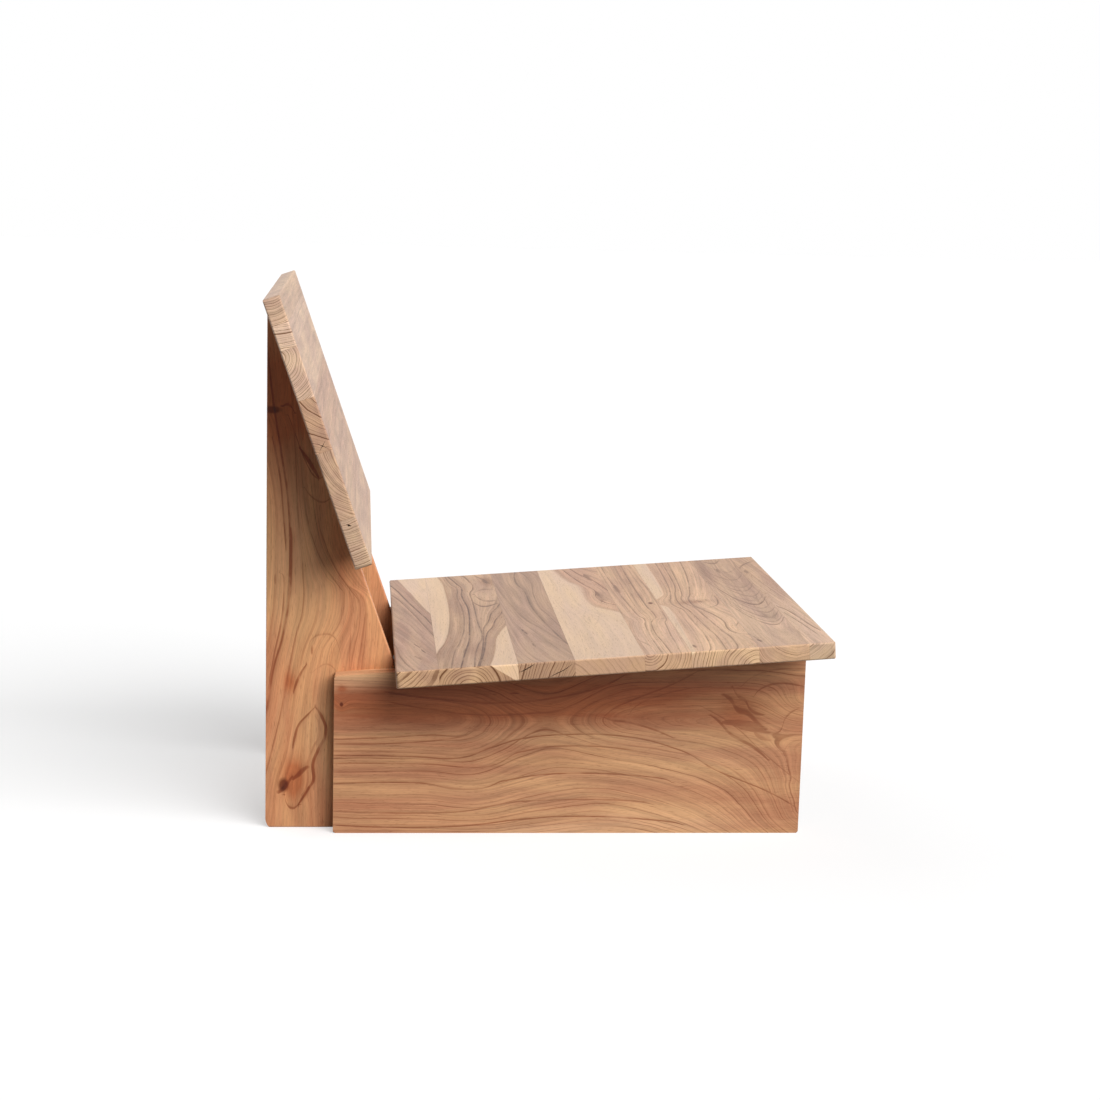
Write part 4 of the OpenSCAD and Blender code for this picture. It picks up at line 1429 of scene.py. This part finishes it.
class LOUNGE_CHAIR_OT_side_panels(bpy.types.Operator):
    """Builds the two side panels."""

    bl_idname = "lounge_chair.side_panels"
    bl_label = "Side Panels"

    def execute(self, context):
        seat, radius = seat_grain(), settings().sizes.panel_corner
        for end, side in SIDES.items():
            node = f"side_panel_{end}"
            grain = panel_grain(node, side)
            low, high = span([node], grain)
            corners = [Vector((low.x, 0)), Vector((high.x, 0))]
            # The seat's underside, at the panel's front and rear
            for x in (high.x, low.x):
                top = (seat.start.z + (x + grain.start.x) * seat.depth.y) / seat.depth.z
                corners.append(Vector((x, top)))
            outline = []
            for i, corner in enumerate(corners):
                outline += corner_arc(corners[i - 1], corner, corners[(i + 1) % 4], radius)
            mesh = plank_mesh(node, outline, high.z, grain)
            material = teak(node, grain, settings().tones.side, SIDE_FIGURE, PANEL_SEED + side, high.z)
            mesh.materials.append(material)
            finish_piece(node, mesh, "wood")
        return {"FINISHED"}


def heel_points(radius, rise, steps=8):
    """The curve that eases a leg's heel, from the floor up, as (height, forward)."""
    points = []
    for i in range(steps + 1):
        left = rise - rise * i / steps
        points.append(Vector((rise * i / steps, radius - math.sqrt(radius ** 2 - left ** 2))))
    return points


class LOUNGE_CHAIR_OT_rear_legs(bpy.types.Operator):
    """Builds the two rear legs."""

    bl_idname = "lounge_chair.rear_legs"
    bl_label = "Rear Legs"

    def execute(self, context):
        sizes, back = settings().sizes, back_grain()
        for end, side in SIDES.items():
            node = f"rear_leg_{end}"
            grain = leg_grain(node, side)
            top, thickness = span([node], grain)[1].xz
            outline = heel_points(sizes.heel_radius, sizes.heel_rise)
            outline.append(Vector((top, 0)))
            # The backrest's rear face, at the leg's top and at the floor
            for height in (top, 0):
                y = (back.start.z - height * back.depth.z) / back.depth.y
                outline.append(Vector((height, -y - grain.start.y)))
            mesh = plank_mesh(node, outline, thickness, grain)
            mesh_of(form_of(mesh), mesh)
            material = teak(node, grain, settings().tones.leg, LEG_FIGURE, LEG_SEED + side, thickness)
            holes = countersinks([place for place in screw_places("leg_screws") if place[1].x == side])
            for wooden in (mesh, *holes):
                wooden.materials.append(material)
            finish_piece(node, cut(mesh, holes, node), "wood")
        return {"FINISHED"}


def dress_node(node, grain, figure, seed):
    """Gives a node whose shape is right its own wood."""
    carried = frame["nodes"][node]
    material = teak(node, grain, settings().tones.frame_wood, figure, seed, span([node], grain)[1].z)
    if not carried.material_slots:
        carried.data.materials.append(material)
    for held in carried.material_slots:
        held.material = material


class LOUNGE_CHAIR_OT_cross_rails(bpy.types.Operator):
    """Gives the two cross rails their wood."""

    bl_idname = "lounge_chair.cross_rails"
    bl_label = "Cross Rails"

    def execute(self, context):
        for seed, node in enumerate(("front_rail", "rear_rail"), RAIL_SEED):
            dress_node(node, grain_of([node], (1, 0, 0), (0, 0, 1), (0, -1, 0)), RAIL_FIGURE, seed)
        return {"FINISHED"}


class LOUNGE_CHAIR_OT_cleats(bpy.types.Operator):
    """Gives the cleats under the seat and behind the backrest their wood."""

    bl_idname = "lounge_chair.cleats"
    bl_label = "Cleats"

    def execute(self, context):
        for seed, (board, place) in enumerate(((seat_grain(), "seat"), (back_grain(), "back")), CLEAT_SEED):
            for end, side in SIDES.items():
                node = f"{place}_cleat_{end}"
                grain = grain_of([node], board.across, board.along, board.depth, (False, False, False))
                dress_node(node, grain, CLEAT_FIGURE, seed + 2 * side)
        return {"FINISHED"}


class LOUNGE_CHAIR_OT_screws(bpy.types.Operator):
    """Drives the screws into the cleats and the rear legs."""

    bl_idname = "lounge_chair.screws"
    bl_label = "Screws"

    def execute(self, context):
        zinc, tree = zinc_material(), build_screw_tree()
        pattern = new_object("screw_pattern", screw_mesh())
        values = {"Screw": pattern, "Seed": settings().sizes.screw_seed, "Material": zinc}
        boards = {"seat_screws": seat_grain(), "back_screws": back_grain()}
        for node in ("seat_screws", "back_screws", "seat_cleat_screws", "back_cleat_screws", "leg_screws"):
            places = screw_places(node, boards.get(node))
            points = bpy.data.meshes.new(node)
            points.from_pydata([place for place, aim in places], [], [])
            aims = points.attributes.new("aim", "FLOAT_VECTOR", "POINT")
            for item, (place, aim) in zip(aims.data, places):
                item.vector = aim
            finish_piece(node, grown(node, points, tree, values), "zinc")
        bpy.data.objects.remove(pattern)
        return {"FINISHED"}


# Studio

WHITE, BLACK = (1, 1, 1, 1), (0, 0, 0, 1)
# The floor that the camera and the reflections see, and the darker one that throws light on the chair
FLOOR_SEEN, FLOOR_UNSEEN = (0.5, 0.5, 0.5, 1), (0.16, 0.16, 0.16, 1)
# Where the two lights stand, seen from the chair
KEY_TOWARDS, FILL_TOWARDS = (-0.58, -0.48, 0.60), (0.6, 0.75, 0.45)
# Width of the camera's frame in millimetres
FRAME_WIDTH = 36


def add_floor(size):
    """A wide pale floor that looks white where no shadow falls."""
    mesh = bpy.data.meshes.new("floor")
    corners = [(x * size, y * size, 0) for x, y in ((-1, -1), (1, -1), (1, 1), (-1, 1))]
    mesh.from_pydata(corners, [], [(0, 1, 2, 3)])
    material, surface = new_material("pale_floor")
    path = add(surface.tree, "ShaderNodeLightPath")
    seen = most(path["Is Camera Ray"], path["Is Glossy Ray"])
    surface["Base Color"] = mix(seen, FLOOR_UNSEEN, FLOOR_SEEN)
    surface["Emission Color"] = mix(seen, BLACK, WHITE)
    surface["Emission Strength"] = 0.5
    surface["Roughness"] = 0.9
    surface["Specular IOR Level"] = 0.0
    mesh.materials.append(material)
    new_object("floor", mesh)


def add_world(strength):
    """Even light all round, and white behind everything that is seen or reflected."""
    world = bpy.data.worlds.new("studio")
    bpy.context.scene.world = world
    world.use_nodes = True
    background = Node(world.node_tree, world.node_tree.nodes["Background"])
    path = add(world.node_tree, "ShaderNodeLightPath")
    shown = most(path["Is Camera Ray"], path["Is Glossy Ray"], path["Is Transmission Ray"])
    background["Color"] = WHITE
    background["Strength"] = step(shown, 0.0, 1.0, strength, 1.0)


def add_sun(name, towards, strength, spread):
    """A distant soft light that stands towards a direction."""
    lamp = bpy.data.lights.new(name, "SUN")
    lamp.energy = strength
    lamp.angle = spread
    made = new_object(name, lamp)
    made.rotation_mode = "QUATERNION"
    made.rotation_quaternion = Vector(towards).to_track_quat("Z", "Y")


def add_camera(studio):
    """The camera, at the place and angle from which the chair was photographed."""
    camera = bpy.data.cameras.new("camera")
    camera.lens = studio.lens
    camera.sensor_width = FRAME_WIDTH
    made = new_object("camera", camera)
    turn, dip = studio.turn, -studio.dip
    ahead = Vector((math.cos(dip) * math.cos(turn), math.cos(dip) * math.sin(turn), math.sin(dip)))
    right = ahead.cross(Vector((0, 0, 1))).normalized()
    up = right.cross(ahead)
    c, s = math.cos(studio.roll), math.sin(studio.roll)
    columns = Matrix((c * right + s * up, c * up - s * right, -ahead)).transposed()
    made.matrix_world = Matrix.Translation(studio.place) @ columns.to_4x4()
    bpy.context.scene.camera = made


class LOUNGE_CHAIR_OT_studio(bpy.types.Operator):
    """Sets the floor, the light and the camera."""

    bl_idname = "lounge_chair.studio"
    bl_label = "Studio"

    def execute(self, context):
        studio = settings().studio
        add_floor(studio.floor)
        add_world(studio.sky)
        add_sun("key_light", KEY_TOWARDS, studio.key, studio.key_spread)
        add_sun("fill_light", FILL_TOWARDS, studio.fill, studio.fill_spread)
        add_camera(studio)
        context.scene.view_settings.view_transform = "Standard"
        return {"FINISHED"}


class LOUNGE_CHAIR_PT_sidebar(bpy.types.Panel):
    """Lists the chair's pieces and settings."""

    bl_idname = "LOUNGE_CHAIR_PT_sidebar"
    bl_label = "Lounge Chair"
    bl_space_type = "VIEW_3D"
    bl_region_type = "UI"
    bl_category = "Lounge Chair"

    def draw(self, context):
        for operator in OPERATORS:
            self.layout.operator(operator.bl_idname)
        chair = context.scene.lounge_chair
        for part in (chair.sizes, chair.tones, chair.studio):
            for name in part.__annotations__:
                self.layout.prop(part, name)


OPERATORS = (
    LOUNGE_CHAIR_OT_seat,
    LOUNGE_CHAIR_OT_backrest,
    LOUNGE_CHAIR_OT_side_panels,
    LOUNGE_CHAIR_OT_rear_legs,
    LOUNGE_CHAIR_OT_cross_rails,
    LOUNGE_CHAIR_OT_cleats,
    LOUNGE_CHAIR_OT_screws,
    LOUNGE_CHAIR_OT_studio,
)
CLASSES = (ChairSizes, TeakTones, StudioSettings, ChairSettings, *OPERATORS, LOUNGE_CHAIR_PT_sidebar)


def register():
    for cls in CLASSES:
        bpy.utils.register_class(cls)
    bpy.types.Scene.lounge_chair = PointerProperty(type=ChairSettings)


def unregister():
    del bpy.types.Scene.lounge_chair
    for cls in reversed(CLASSES):
        bpy.utils.unregister_class(cls)


def main():
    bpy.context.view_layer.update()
    register()
    build_groups()
    bpy.ops.lounge_chair.seat()
    bpy.ops.lounge_chair.backrest()
    bpy.ops.lounge_chair.side_panels()
    bpy.ops.lounge_chair.rear_legs()
    bpy.ops.lounge_chair.cross_rails()
    bpy.ops.lounge_chair.cleats()
    bpy.ops.lounge_chair.screws()
    bpy.ops.lounge_chair.studio()


if __name__ == "__main__":
    main()
